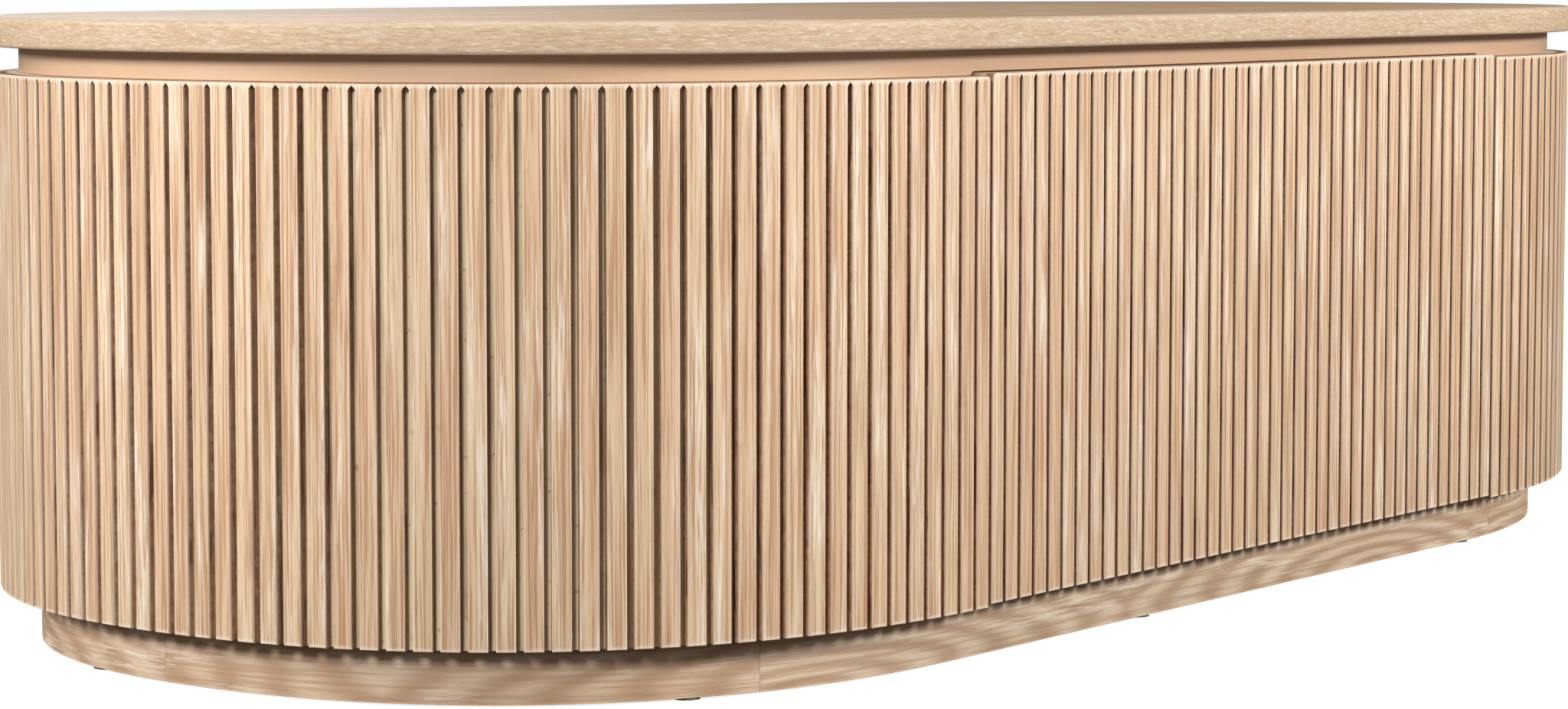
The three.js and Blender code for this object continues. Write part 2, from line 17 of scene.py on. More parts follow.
import bmesh
import bpy
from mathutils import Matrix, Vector


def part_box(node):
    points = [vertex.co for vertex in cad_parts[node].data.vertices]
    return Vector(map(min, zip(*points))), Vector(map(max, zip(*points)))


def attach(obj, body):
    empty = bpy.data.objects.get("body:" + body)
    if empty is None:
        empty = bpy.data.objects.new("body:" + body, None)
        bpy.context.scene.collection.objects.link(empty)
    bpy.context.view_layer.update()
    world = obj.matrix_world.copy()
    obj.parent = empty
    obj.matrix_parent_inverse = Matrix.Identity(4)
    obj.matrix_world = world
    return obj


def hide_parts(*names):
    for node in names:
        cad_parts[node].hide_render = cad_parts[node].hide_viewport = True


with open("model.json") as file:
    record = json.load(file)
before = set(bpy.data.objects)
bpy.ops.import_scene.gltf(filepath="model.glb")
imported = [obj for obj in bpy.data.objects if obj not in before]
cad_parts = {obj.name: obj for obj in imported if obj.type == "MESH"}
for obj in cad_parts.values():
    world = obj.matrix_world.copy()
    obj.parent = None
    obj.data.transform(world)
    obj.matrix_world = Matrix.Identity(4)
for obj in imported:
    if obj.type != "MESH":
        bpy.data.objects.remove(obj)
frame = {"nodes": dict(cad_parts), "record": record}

log = logging.getLogger("media_cabinet")

MM = 0.001
GROOVE = 5.2 * MM
SLAT_DEPTH = 8.0 * MM
FLAP_SLATS = 41
END_SQUARENESS = 2.21
TOP_LIP = 1.2 * MM
SKIN_JOINT = 0.5 * MM
SLAT_SHARP = 50.0
TOUCH = 0.01 * MM
TURN = 2 * math.pi
PLAIN_OFFSET = 0.37

Colour = tuple[float, float, float, float]
Point = tuple[float, float]
Socket = bpy.types.NodeSocket


def paint(code: str) -> Colour:
    """Turns a colour written as six hex digits into the linear values that shaders take.

    Args:
        code: Red, green and blue, two hex digits each.

    Returns:
        Linear red, green, blue and a full alpha.
    """
    parts = [int(code[i:i + 2], 16) / 255 for i in (0, 2, 4)]
    linear = [c / 12.92 if c <= 0.04045 else ((c + 0.055) / 1.055) ** 2.4 for c in parts]
    return (linear[0], linear[1], linear[2], 1.0)


class Body(Enum):
    """The moving bodies of the frame."""

    CABINET = "cabinet"
    FLAP = "flap"


class Side(Enum):
    """The two ends of the cabinet, with the sign of their X."""

    LEFT = -1
    RIGHT = 1

    @property
    def label(self) -> str:
        """The word that starts the names of this side's pieces."""
        return self.name.lower()


class Reading(Enum):
    """How a wood finish finds the direction of its grain."""

    SLAT = "upright, with the slat's own tone"
    GROOVE = "upright, with the groove's own tone"
    ALONG_X = "along the cabinet's length"
    ALONG_Z = "upright"
    ALONG_Y = "front to back"
    RUN = "round the outline, from the run map"


# ---- Plan ----


@dataclass(frozen=True)
class Plan:
    """The outline of the slat faces.

    Args:
        flat: Length of the flat front, which is also that of the flat back.
        half_depth: From the middle to the flat front.
        reach: How far each rounded end reaches past the flat.
        squareness: 2 gives half ellipses at the ends, more gives squarer ones.
        steps: Measuring steps round one end.
        spots: The points of the right end, measured once.
        lengths: The length round the end up to each of them.
    """

    flat: float
    half_depth: float
    reach: float
    squareness: float = END_SQUARENESS
    steps: int = 1440
    spots: list[Point] = field(default_factory=list, compare=False)
    lengths: list[float] = field(default_factory=list, compare=False)

    def __post_init__(self) -> None:
        """Measures the right end once."""
        power = 2 / self.squareness
        length = 0.0
        for i in range(self.steps + 1):
            angle = math.pi * i / self.steps
            cosine = math.cos(angle)
            x = self.reach * math.sin(angle) ** power if 0 < i < self.steps else 0.0
            y = -self.half_depth * math.copysign(abs(cosine) ** power, cosine)
            if self.spots:
                length += math.dist((x, y), self.spots[-1])
            self.spots.append((x, y))
            self.lengths.append(length)

    @property
    def end_length(self) -> float:
        """The length round one end."""
        return self.lengths[-1]

    @property
    def half_loop(self) -> float:
        """One flat and one end."""
        return self.flat + self.end_length

    def _on_end(self, distance: float) -> Vector:
        """Finds a point of the right end.

        Args:
            distance: Along the end.

        Returns:
            The point, with X counted from the end of the flat.
        """
        low = min(max(bisect_right(self.lengths, distance) - 1, 0), self.steps - 1)
        share = (distance - self.lengths[low]) / (self.lengths[low + 1] - self.lengths[low])
        first, second = self.spots[low], self.spots[low + 1]
        return Vector(first).lerp(Vector(second), share)

    def place(self, distance: float, inset: float = 0.0, z: float = 0.0) -> Vector:
        """A point of the plan.

        Args:
            distance: Along the slat faces.
            inset: From the slat faces inwards.
            z: Its height.

        Returns:
            The point. The second half of the loop is the first half turned half round.
        """
        along = distance % (2 * self.half_loop)
        sign = 1.0
        if along > self.half_loop:
            along -= self.half_loop
            sign = -1.0
        if along <= self.flat:
            x, y = along - self.flat / 2, inset - self.half_depth
        else:
            here = along - self.flat
            tangent = self._on_end(min(here + MM, self.end_length)) - self._on_end(max(here - MM, 0.0))
            tangent.normalize()
            spot = self._on_end(here)
            x = self.flat / 2 + spot.x - inset * tangent.y
            y = spot.y + inset * tangent.x
        return Vector((sign * x, sign * y, z))

    def stations(self, start: float, end: float, step: float) -> list[float]:
        """Distances from start to end, close together on the rounded ends and far apart on the flats.

        Args:
            start: The first distance.
            end: The last distance.
            step: The longest facet on a rounded end.

        Returns:
            The distances in order, with start and end.
        """
        facets = max(2, round(self.end_length / step))
        found = []
        for turn in range(math.floor(start / self.half_loop), math.ceil(end / self.half_loop) + 1):
            first = turn * self.half_loop
            found.append(first)
            found += [first + self.flat + self.end_length * i / facets for i in range(facets)]
        margin = 0.3 * MM
        return [start, *[d for d in found if start + margin < d < end - margin], end]


@dataclass(frozen=True)
class Sizes:
    """Heights and insets that several sub-assemblies share, measured on the frame.

    Args:
        plan: The outline of the slat faces.
        pitch: From slat to slat on the flats.
        end_slats: How many slats go round one end.
        panel: Thickness of the fluted panels, with their slats.
        skin: The lower and upper edge of the fixed panels.
        flap: The lower and upper edge of the flap.
        deck: The underside and top of the deck.
        deck_inset: From the slat faces in to the frieze.
        top: The underside and top of the tabletop.
        overhang: From the slat faces out to the tabletop's edge.
        plinth: The lower and upper edge of the plinth.
        plinth_inset: From the slat faces in to the plinth.
    """

    plan: Plan
    pitch: float
    end_slats: int
    panel: float
    skin: tuple[float, float]
    flap: tuple[float, float]
    deck: tuple[float, float]
    deck_inset: float
    top: tuple[float, float]
    overhang: float
    plinth: tuple[float, float]
    plinth_inset: float

    @classmethod
    def measured(cls) -> "Sizes":
        """Reads the sizes off the frame's boxes.

        Returns:
            The sizes.
        """
        flap_low, flap_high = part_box("flap_door")
        end_low, end_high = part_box("right_end_panel")
        deck_low, deck_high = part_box("top_deck")
        top_low, top_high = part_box("tabletop")
        plinth_low, plinth_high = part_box("plinth_front")
        flat = flap_high.x - flap_low.x + GROOVE
        half_depth = -flap_low.y
        plan = Plan(flat, half_depth, end_high.x - flat / 2)
        pitch = flat / FLAP_SLATS
        return cls(
            plan=plan,
            pitch=pitch,
            end_slats=round(plan.end_length / pitch),
            panel=flap_high.y - flap_low.y,
            skin=(end_low.z, end_high.z),
            flap=(flap_low.z, flap_high.z),
            deck=(deck_low.z, deck_high.z),
            deck_inset=deck_low.y + half_depth,
            top=(top_low.z, top_high.z),
            overhang=-top_low.y - half_depth,
            plinth=(plinth_low.z, plinth_high.z),
            plinth_inset=plinth_low.y + half_depth,
        )


# ---- Node helpers ----


class Graph:
    """Adds and links nodes in one tree."""

    def __init__(self, tree: bpy.types.NodeTree) -> None:
        """Starts from an empty tree.

        Args:
            tree: A shader or geometry node tree.
        """
        self.tree = tree
        tree.nodes.clear()

    def node(self, kind: str, inputs: dict[str | int, object] | None = None,
             **settings: object) -> bpy.types.Node:
        """Adds one node.

        Args:
            kind: The node's type.
            inputs: For each input, by name or number, a socket to link or a value to set.
            **settings: The node's own properties.

        Returns:
            The node.
        """
        made = self.tree.nodes.new(kind)
        for key, value in settings.items():
            setattr(made, key, value)
        for key, value in (inputs or {}).items():
            if isinstance(value, bpy.types.NodeSocket):
                self.tree.links.new(value, made.inputs[key])
            else:
                made.inputs[key].default_value = value
        return made

    def math(self, operation: str, a: object, b: object = 0.0, c: object = 0.0) -> Socket:
        """A Math node's result."""
        wanted = {0: a, 1: b, 2: c} if operation in ("MULTIPLY_ADD", "COMPARE") else {0: a, 1: b}
        return self.node("ShaderNodeMath", wanted, operation=operation).outputs[0]

    def vector(self, operation: str, a: object, b: object) -> Socket:
        """A Vector Math node's vector."""
        return self.node("ShaderNodeVectorMath", {0: a, 1: b}, operation=operation).outputs[0]

    def ramp(self, value: object, low: float, high: float, to_low: float = 0.0,
             to_high: float = 1.0) -> Socket:
        """A value mapped smoothly from one range to another, and held at its ends."""
        wanted = {"Value": value, "From Min": low, "From Max": high, "To Min": to_low, "To Max": to_high}
        made = self.node("ShaderNodeMapRange", wanted, interpolation_type="SMOOTHSTEP")
        return made.outputs["Result"]

    def mix(self, share: object, a: object, b: object) -> Socket:
        """A colour mixed from two."""
        return self.node("ShaderNodeMix", {0: share, 6: a, 7: b}, data_type="RGBA").outputs[2]

    def noise(self, vector: Socket, scale: float, detail: float = 2.0, rough: float = 0.5) -> Socket:
        """A noise pattern's value, from 0 to 1."""
        wanted = {"Vector": vector, "Scale": scale, "Detail": detail, "Roughness": rough}
        return self.node("ShaderNodeTexNoise", wanted).outputs[0]

    def kept(self, name: str) -> Socket:
        """A number that the mesh keeps under this name."""
        return self.node("ShaderNodeAttribute", attribute_name=name).outputs["Fac"]

    def group(self, tree: bpy.types.NodeTree, inputs: dict[str | int, object]) -> bpy.types.Node:
        """A node that holds a shared group."""
        return self.node("ShaderNodeGroup", inputs, node_tree=tree)


def new_group(name: str, inputs: Iterable[tuple[str, str, object]], outputs: Iterable[tuple[str, str]]
              ) -> tuple[Graph, bpy.types.Node, bpy.types.Node]:
    """Starts a shader group.

    Args:
        name: The group's name.
        inputs: Each input's name, socket type and value.
        outputs: Each output's name and socket type.

    Returns:
        Its graph, its input node and its output node.
    """
    tree = bpy.data.node_groups.new(name, "ShaderNodeTree")
    for label, kind, value in inputs:
        socket = tree.interface.new_socket(label, in_out="INPUT", socket_type=kind)
        if value is not None:
            socket.default_value = value
    for label, kind in outputs:
        tree.interface.new_socket(label, in_out="OUTPUT", socket_type=kind)
    graph = Graph(tree)
    return graph, graph.node("NodeGroupInput"), graph.node("NodeGroupOutput")


# ---- Shared shader effects ----


class Effects:
    """The effects that several finishes use, each built once."""

    def __init__(self) -> None:
        """Builds the groups."""
        self.timber = self._timber()
        self.rings = self._rings()
        self.wear = self._wear()

    @staticmethod
    def _timber() -> bpy.types.NodeTree:
        """Straight grain: fine streaks, limed pores, dark pores and a broad drift of tone.

        Returns:
            The group. Its vector's X runs along the grain, in metres.
        """
        value = "NodeSocketFloat"
        graph, given, made = new_group(
            "timber_grain",
            [
                ("Vector", "NodeSocketVector", None),
                ("Offset", value, 0.0),
                ("Streak Width", value, 0.9 * MM),
                ("Streak Length", value, 45 * MM),
                ("Lime Amount", value, 0.5),
            ],
            [("Streak", value), ("Broad", value), ("Lime", value), ("Pore", value)],
        )
        shift = graph.node("ShaderNodeCombineXYZ", {
            0: graph.math("MULTIPLY", given.outputs["Offset"], 3.7),
            1: graph.math("MULTIPLY", given.outputs["Offset"], 1.9),
            2: graph.math("MULTIPLY", given.outputs["Offset"], 5.3),
        }).outputs[0]
        moved = graph.vector("ADD", given.outputs["Vector"], shift)
        sway = graph.noise(graph.vector("MULTIPLY", moved, (5.0, 22.0, 22.0)), 1.0, 1.0)
        sway = graph.math("MULTIPLY_ADD", sway, 5 * MM, -2.5 * MM)
        bent = graph.vector("ADD", moved, graph.node("ShaderNodeCombineXYZ", {1: sway}).outputs[0])
        across = graph.math("DIVIDE", 1.0, given.outputs["Streak Width"])
        along = graph.math("DIVIDE", 1.0, given.outputs["Streak Length"])
        stretch = graph.node("ShaderNodeCombineXYZ", {0: along, 1: across, 2: across}).outputs[0]
        grain = graph.vector("MULTIPLY", bent, stretch)
        streak = graph.noise(grain, 0.5, 3.0, 0.6)
        broad = graph.noise(graph.vector("MULTIPLY", grain, (0.35, 0.11, 0.11)), 1.0, 2.0, 0.5)
        patch = graph.noise(graph.vector("MULTIPLY", grain, (0.42, 0.075, 0.075)), 1.0, 2.0, 0.55)
        patch = graph.math("ADD", patch, graph.math("MULTIPLY_ADD", given.outputs["Lime Amount"], 0.3, -0.15))
        fleck = graph.noise(graph.vector("MULTIPLY", grain, (1.5, 0.62, 0.62)), 1.0, 3.0, 0.7)
        lime = graph.math("MULTIPLY", graph.ramp(patch, 0.45, 0.62), graph.ramp(fleck, 0.46, 0.57))
        pore = graph.noise(graph.vector("MULTIPLY", grain, (4.5, 2.2, 2.2)), 1.0, 2.0, 0.6)
        pore = graph.ramp(pore, 0.6, 0.72)
        for label, result in (("Streak", streak), ("Broad", broad), ("Lime", lime), ("Pore", pore)):
            graph.tree.links.new(result, made.inputs[label])
        return graph.tree

    @staticmethod
    def _rings() -> bpy.types.NodeTree:
        """Growth rings cut at a slant, which show as long pointed arches.

        Returns:
            The group. Its vector's X runs along the grain, in metres.
        """
        value = "NodeSocketFloat"
        graph, given, made = new_group(
            "growth_rings",
            [
                ("Vector", "NodeSocketVector", None),
                ("Offset", value, 0.0),
                ("Spacing", value, 6 * MM),
                ("Slant", value, 0.08),
            ],
            [("Ring", value)],
        )
        parts = graph.node("ShaderNodeSeparateXYZ", {0: given.outputs["Vector"]}).outputs
        offset = given.outputs["Offset"]
        wander = graph.noise(graph.vector("MULTIPLY", given.outputs["Vector"], (2.2, 14.0, 14.0)), 1.0, 2.0)
        wander = graph.math("MULTIPLY_ADD", wander, 26 * MM, -13 * MM)
        run = graph.math("MULTIPLY", graph.math("ADD", parts[0], graph.math("MULTIPLY", offset, 7.1)),
                         given.outputs["Slant"])
        depth = graph.math("ADD", graph.math("PINGPONG", run, 60 * MM), wander)
        swing = graph.math("SINE", graph.math("MULTIPLY", offset, 40.0))
        side = graph.math("ADD", parts[1], graph.math("MULTIPLY", swing, 8 * MM))
        radius = graph.math("SQRT", graph.math(
            "ADD", graph.math("MULTIPLY", side, side), graph.math("MULTIPLY", depth, depth)))
        turns = graph.math("DIVIDE", radius, given.outputs["Spacing"])
        ring = graph.math("PINGPONG", turns, 1.0)
        graph.tree.links.new(graph.ramp(ring, 0.05, 0.95), made.inputs["Ring"])
        return graph.tree

    @staticmethod
    def _wear() -> bpy.types.NodeTree:
        """Rubbed edges: full at the edge, broken up a little way in.

        Returns:
            The group.
        """
        value = "NodeSocketFloat"
        graph, given, made = new_group(
            "rubbed_edge",
            [("Vector", "NodeSocketVector", None), ("Distance", value, 0.01), ("Reach", value, 1 * MM)],
            [("Mask", value)],
        )
        ragged = graph.noise(given.outputs["Vector"], 700.0, 2.0, 0.6)
        reach = graph.math("MULTIPLY", given.outputs["Reach"], graph.math("MULTIPLY_ADD", ragged, 1.6, 0.2))
        share = graph.math("DIVIDE", given.outputs["Distance"], reach)
        graph.tree.links.new(graph.ramp(share, 0.3, 1.0, 1.0, 0.0), made.inputs["Mask"])
        return graph.tree


# ---- Finishes ----


@dataclass(frozen=True)
class WoodFinish:
    """A limed, satin wood surface.

    Args:
        name: The material's name.
        reading: Where the grain's direction comes from.
        pale: The light wood between the streaks.
        warm: The pinker wood that other tones lean to.
        streak: The colour of the fine dark streaks.
        lime: The whitish filling of the open pores.
        pore: The small dark pores.
        streak_width: Across the grain.
        streak_length: Along the grain.
        streak_depth: How strongly the streaks show, from 0 to 1.
        lime_amount: How much of the wood holds lime, from 0 to 1.
        lime_depth: How white the lime is, from 0 to 1.
        ring_spacing: Between two growth rings.
        ring_slant: How far the rings lean along the grain.
        ring_depth: How strongly the rings show, from 0 to 1.
        roughness: Of the satin surface.
        relief: Height of the grain.
    """

    name: str
    reading: Reading
    pale: str = "e2c9a4"
    warm: str = "dbb690"
    streak: str = "bd9468"
    lime: str = "efe4d2"
    pore: str = "8f6845"
    streak_width: float = 0.9 * MM
    streak_length: float = 45 * MM
    streak_depth: float = 0.5
    lime_amount: float = 0.5
    lime_depth: float = 0.6
    ring_spacing: float = 5 * MM
    ring_slant: float = 0.06
    ring_depth: float = 0.35
    roughness: float = 0.55
    relief: float = 0.12 * MM

    def _grain_vector(self, graph: Graph) -> tuple[Socket, Socket | float]:
        """Finds how the grain lies.

        Args:
            graph: The material's nodes.

        Returns:
            A vector whose X runs along the grain, and the piece's own offset.
        """
        own = graph.node("ShaderNodeTexCoord").outputs["Object"]
        if self.reading is Reading.RUN:
            run = graph.node("ShaderNodeUVMap", uv_map="run").outputs[0]
            return run, graph.kept("tone")
        parts = graph.node("ShaderNodeSeparateXYZ", {0: own}).outputs
        order = {
            Reading.SLAT: (2, 0, 1),
            Reading.GROOVE: (2, 0, 1),
            Reading.ALONG_Z: (2, 0, 1),
            Reading.ALONG_X: (0, 1, 2),
            Reading.ALONG_Y: (1, 0, 2),
        }[self.reading]
        turned = {i: parts[axis] for i, axis in enumerate(order)}
        vector = graph.node("ShaderNodeCombineXYZ", turned).outputs[0]
        if self.reading in (Reading.SLAT, Reading.GROOVE):
            return vector, graph.kept("tone")
        return vector, PLAIN_OFFSET

    def build(self, effects: Effects) -> bpy.types.Material:
        """Makes the material.

        Args:
            effects: The shared shader groups.

        Returns:
            The finished material.
        """
        material = bpy.data.materials.new(self.name)
        material.use_nodes = True
        graph = Graph(material.node_tree)
        vector, offset = self._grain_vector(graph)
        grain = graph.group(effects.timber, {
            "Vector": vector,
            "Offset": offset,
            "Streak Width": self.streak_width,
            "Streak Length": self.streak_length,
            "Lime Amount": self.lime_amount,
        }).outputs
        ring = graph.group(effects.rings, {
            "Vector": vector, "Offset": offset, "Spacing": self.ring_spacing, "Slant": self.ring_slant,
        }).outputs["Ring"]
        drift = graph.ramp(grain["Broad"], 0.32, 0.68)
        if not isinstance(offset, float):
            tone = graph.math("FRACT", graph.math("MULTIPLY", offset, 7.31))
            drift = graph.math("MULTIPLY_ADD", drift, 0.45, graph.math("MULTIPLY", tone, 0.55))
        colour = graph.mix(drift, paint(self.pale), paint(self.warm))
        dark = graph.math("MULTIPLY", graph.ramp(grain["Streak"], 0.46, 0.6), self.streak_depth)
        colour = graph.mix(dark, colour, paint(self.streak))
        ringed = graph.math("MULTIPLY", ring, self.ring_depth)
        colour = graph.mix(ringed, colour, graph.mix(0.65, colour, paint(self.streak)))
        limed = graph.math("MULTIPLY", grain["Lime"], self.lime_depth)
        colour = graph.mix(limed, colour, paint(self.lime))
        pored = graph.math("MULTIPLY", grain["Pore"], graph.math("MULTIPLY_ADD", limed, -0.45, 0.45))
        colour = graph.mix(pored, colour, paint(self.pore))
        colour = self._dress(graph, effects, colour, vector, offset)
        rough = graph.math("MULTIPLY_ADD", grain["Streak"], 0.16, self.roughness - 0.08)
        height = graph.math("SUBTRACT", graph.math("MULTIPLY", grain["Streak"], 0.6), grain["Pore"])
        bump = graph.node("ShaderNodeBump", {"Height": height, "Distance": self.relief, "Strength": 0.6})
        shader = graph.node("ShaderNodeBsdfPrincipled", {
            "Base Color": colour,
            "Roughness": rough,
            "Normal": bump.outputs[0],
            "IOR": 1.45,
            "Specular IOR Level": 0.4,
        })
        graph.node("ShaderNodeOutputMaterial", {0: shader.outputs[0]})
        return material

    def _dress(self, graph: Graph, effects: Effects, colour: Socket, vector: Socket,
               offset: Socket | float) -> Socket:
        """Adds what only this finish has. A plain finish adds nothing.

        Args:
            graph: The material's nodes.
            effects: The shared shader groups.
            colour: The wood's colour so far.
            vector: Its X runs along the grain.
            offset: The piece's own offset.

        Returns:
            The colour with this finish's own layers.
        """
        return colour


@dataclass(frozen=True)
class SlatFinish(WoodFinish):
    """The slats: rubbed, whitish edges, and painted shade that turns their sides brown towards the groove's
    floor.

    Args:
        half_width: Of a slat's face.
        edge: The rubbed edge's colour.
        edge_reach: How far the rubbing reaches in from the long edges.
        edge_wear: How strong it is there, from 0 to 1.
        end_reach: How far it reaches in from the ends.
        end_wear: How strong it is there, from 0 to 1.
        side_painted_shade: The colour of the painted shade on the slat's sides.
        side_painted_shade_start: How deep in the groove the painted shade starts.
        side_painted_shade_full: How deep it is full.
        burn: The dark runs on the slat's sides.
    """

    half_width: float = 6.4 * MM
    edge: str = "f0e2cf"
    edge_reach: float = 0.9 * MM
    edge_wear: float = 0.4
    end_reach: float = 3.2 * MM
    end_wear: float = 0.55
    side_painted_shade: str = "8a6346"
    side_painted_shade_start: float = 0.5 * MM
    side_painted_shade_full: float = 2.3 * MM
    burn: str = "63392a"

    def _dress(self, graph: Graph, effects: Effects, colour: Socket, vector: Socket,
               offset: Socket | float) -> Socket:
        """Rubs the edges and paints shade on the sides.

        Args:
            graph: The material's nodes.
            effects: The shared shader groups.
            colour: The wood's colour so far.
            vector: Its X runs along the grain.
            offset: The piece's own offset.

        Returns:
            The colour with rubbed edges and painted shade on the sides.
        """
        across, deep, above, below = (graph.kept(name) for name in ("across", "deep", "above", "below"))
        inward = graph.math("SUBTRACT", self.half_width, graph.math("ABSOLUTE", across))
        inward = graph.math("MAXIMUM", inward, 0.0)
        edge = graph.group(effects.wear, {
            "Vector": vector, "Distance": inward, "Reach": self.edge_reach,
        }).outputs[0]
        end = graph.group(effects.wear, {
            "Vector": vector, "Distance": graph.math("MINIMUM", above, below), "Reach": self.end_reach,
        }).outputs[0]
        worn = graph.math("MAXIMUM", graph.math("MULTIPLY", edge, self.edge_wear),
                          graph.math("MULTIPLY", end, self.end_wear))
        worn = graph.math("MULTIPLY", worn, graph.ramp(deep, 1.2 * MM, 2.0 * MM, 1.0, 0.0))
        colour = graph.mix(worn, colour, paint(self.edge))
        # Painted shade: the sides turn brown, in patches, deeper into the groove.
        side_painted_shade_patches = graph.noise(vector, 160.0, 3.0, 0.7)
        side_painted_shade_patches = graph.math("MULTIPLY_ADD", graph.ramp(side_painted_shade_patches, 0.35, 0.7), 0.35, 0.6)
        side_painted_shade_mask = graph.math("MULTIPLY", graph.ramp(deep, self.side_painted_shade_start, self.side_painted_shade_full), side_painted_shade_patches)
        colour = graph.mix(side_painted_shade_mask, colour, paint(self.side_painted_shade))
        run = graph.noise(graph.vector("MULTIPLY", vector, (0.1, 1.0, 1.0)), 130.0, 2.0, 0.5)
        burnt = graph.math("MULTIPLY", graph.ramp(run, 0.58, 0.64, 0.0, 0.8),
                           graph.ramp(deep, 1.0 * MM, 2.0 * MM))
        return graph.mix(burnt, colour, paint(self.burn))


@dataclass(frozen=True)
class GrooveFinish(WoodFinish):
    """The floors of the grooves: brown, each with its own tone, with dark specks.

    Args:
        dark: The darkest floors.
        light: The lightest floors.
        shoulder: The pale top edge of the panel.
    """

    dark: str = "8a6547"
    light: str = "d8c4a0"
    shoulder: str = "ecdccb"

    def _dress(self, graph: Graph, effects: Effects, colour: Socket, vector: Socket,
               offset: Socket | float) -> Socket:
        """Stains the floors and leaves the level edges pale.

        Args:
            graph: The material's nodes.
            effects: The shared shader groups.
            colour: The wood's colour so far.
            vector: Its X runs along the grain.
            offset: The groove's own offset.

        Returns:
            The colour with stained floors.
        """
        speck = graph.noise(vector, 120.0, 4.0, 0.75)
        patch = graph.noise(graph.vector("MULTIPLY", vector, (0.14, 1.0, 1.0)), 70.0, 2.0)
        share = graph.math("ADD", graph.math("MULTIPLY", offset, 0.45),
                           graph.math("MULTIPLY_ADD", patch, 0.9, -0.16))
        floor = graph.mix(graph.ramp(share, 0.05, 0.6), paint(self.dark), paint(self.light))
        floor = graph.mix(graph.ramp(speck, 0.58, 0.7, 0.0, 0.6), floor, paint(self.dark))
        top = graph.mix(0.75, colour, paint(self.shoulder))
        inner = graph.mix(0.2, colour, paint(self.light))
        shown = graph.mix(graph.ramp(graph.kept("level"), 0.45, 0.55), floor, top)
        return graph.mix(graph.ramp(graph.kept("inside"), 0.45, 0.55), shown, inner)


@dataclass(frozen=True)
class RunFinish(WoodFinish):
    """Wood that runs round the outline, with rubbed, paler arrises and, where asked, painted shadow along its
    top.

    Args:
        edge: The rubbed arris.
        edge_depth: How pale the arris is, from 0 to 1.
        dash_depth: How strongly short slanting dashes show, from 0 to 1.
        shade_depth: How dark the painted shadow on the highest strip is, from 0 to 1.
        shade: That painted shadow's colour.
        shade_start: How far under the top edge the painted shadow starts to fade.
        shade_end: How far under it the painted shadow ends.
    """

    edge: str = "f3e4cd"
    edge_depth: float = 0.5
    dash_depth: float = 0.0
    shade_depth: float = 0.0
    shade: str = "4a3222"
    shade_start: float = 5 * MM
    shade_end: float = 14 * MM

    def _dress(self, graph: Graph, effects: Effects, colour: Socket, vector: Socket,
               offset: Socket | float) -> Socket:
        """Adds the dashes, rubs the arrises and paints shadow on the highest strip.

        Args:
            graph: The material's nodes.
            effects: The shared shader groups.
            colour: The wood's colour so far.
            vector: Its X runs along the grain.
            offset: The board's own offset.

        Returns:
            The colour with these layers.
        """
        if self.dash_depth:
            colour = self._dashes(graph, colour, vector)
        ragged = graph.noise(vector, 260.0, 3.0, 0.65)
        rubbed = graph.math("MULTIPLY", graph.kept("arris"), graph.ramp(ragged, 0.25, 0.6, 0.35, 1.0))
        colour = graph.mix(graph.math("MULTIPLY", rubbed, self.edge_depth), colour, paint(self.edge))
        # Painted shadow: the top strip darkens where the slats overhang it.
        if self.shade_depth:
            wavy = graph.math("MULTIPLY_ADD", graph.noise(vector, 30.0, 2.0), 4 * MM, graph.kept("below"))
            shaded = graph.ramp(wavy, self.shade_start, self.shade_end, self.shade_depth, 0.0)
            colour = graph.mix(shaded, colour, paint(self.shade))
        return colour

    def _dashes(self, graph: Graph, colour: Socket, vector: Socket) -> Socket:
        """Adds short slanting dashes, as where open pores run out at the edge of a board.

        Args:
            graph: The material's nodes.
            colour: The wood's colour so far.
            vector: Its X runs along the grain.

        Returns:
            The colour with pale and dark dashes.
        """
        leaned = graph.node("ShaderNodeMapping", {
            "Vector": vector, "Rotation": (0.0, 0.0, math.radians(9)), "Scale": (1.0, 9.0, 1.0),
        }).outputs[0]
        pale = graph.noise(leaned, 95.0, 3.0, 0.6)
        dark = graph.noise(graph.vector("ADD", leaned, (3.1, 1.7, 0.0)), 120.0, 3.0, 0.6)
        colour = graph.mix(graph.math("MULTIPLY", graph.ramp(dark, 0.52, 0.66), self.dash_depth), colour,
                           paint(self.streak))
        return graph.mix(graph.math("MULTIPLY", graph.ramp(pale, 0.52, 0.64), self.dash_depth), colour,
                         paint(self.lime))


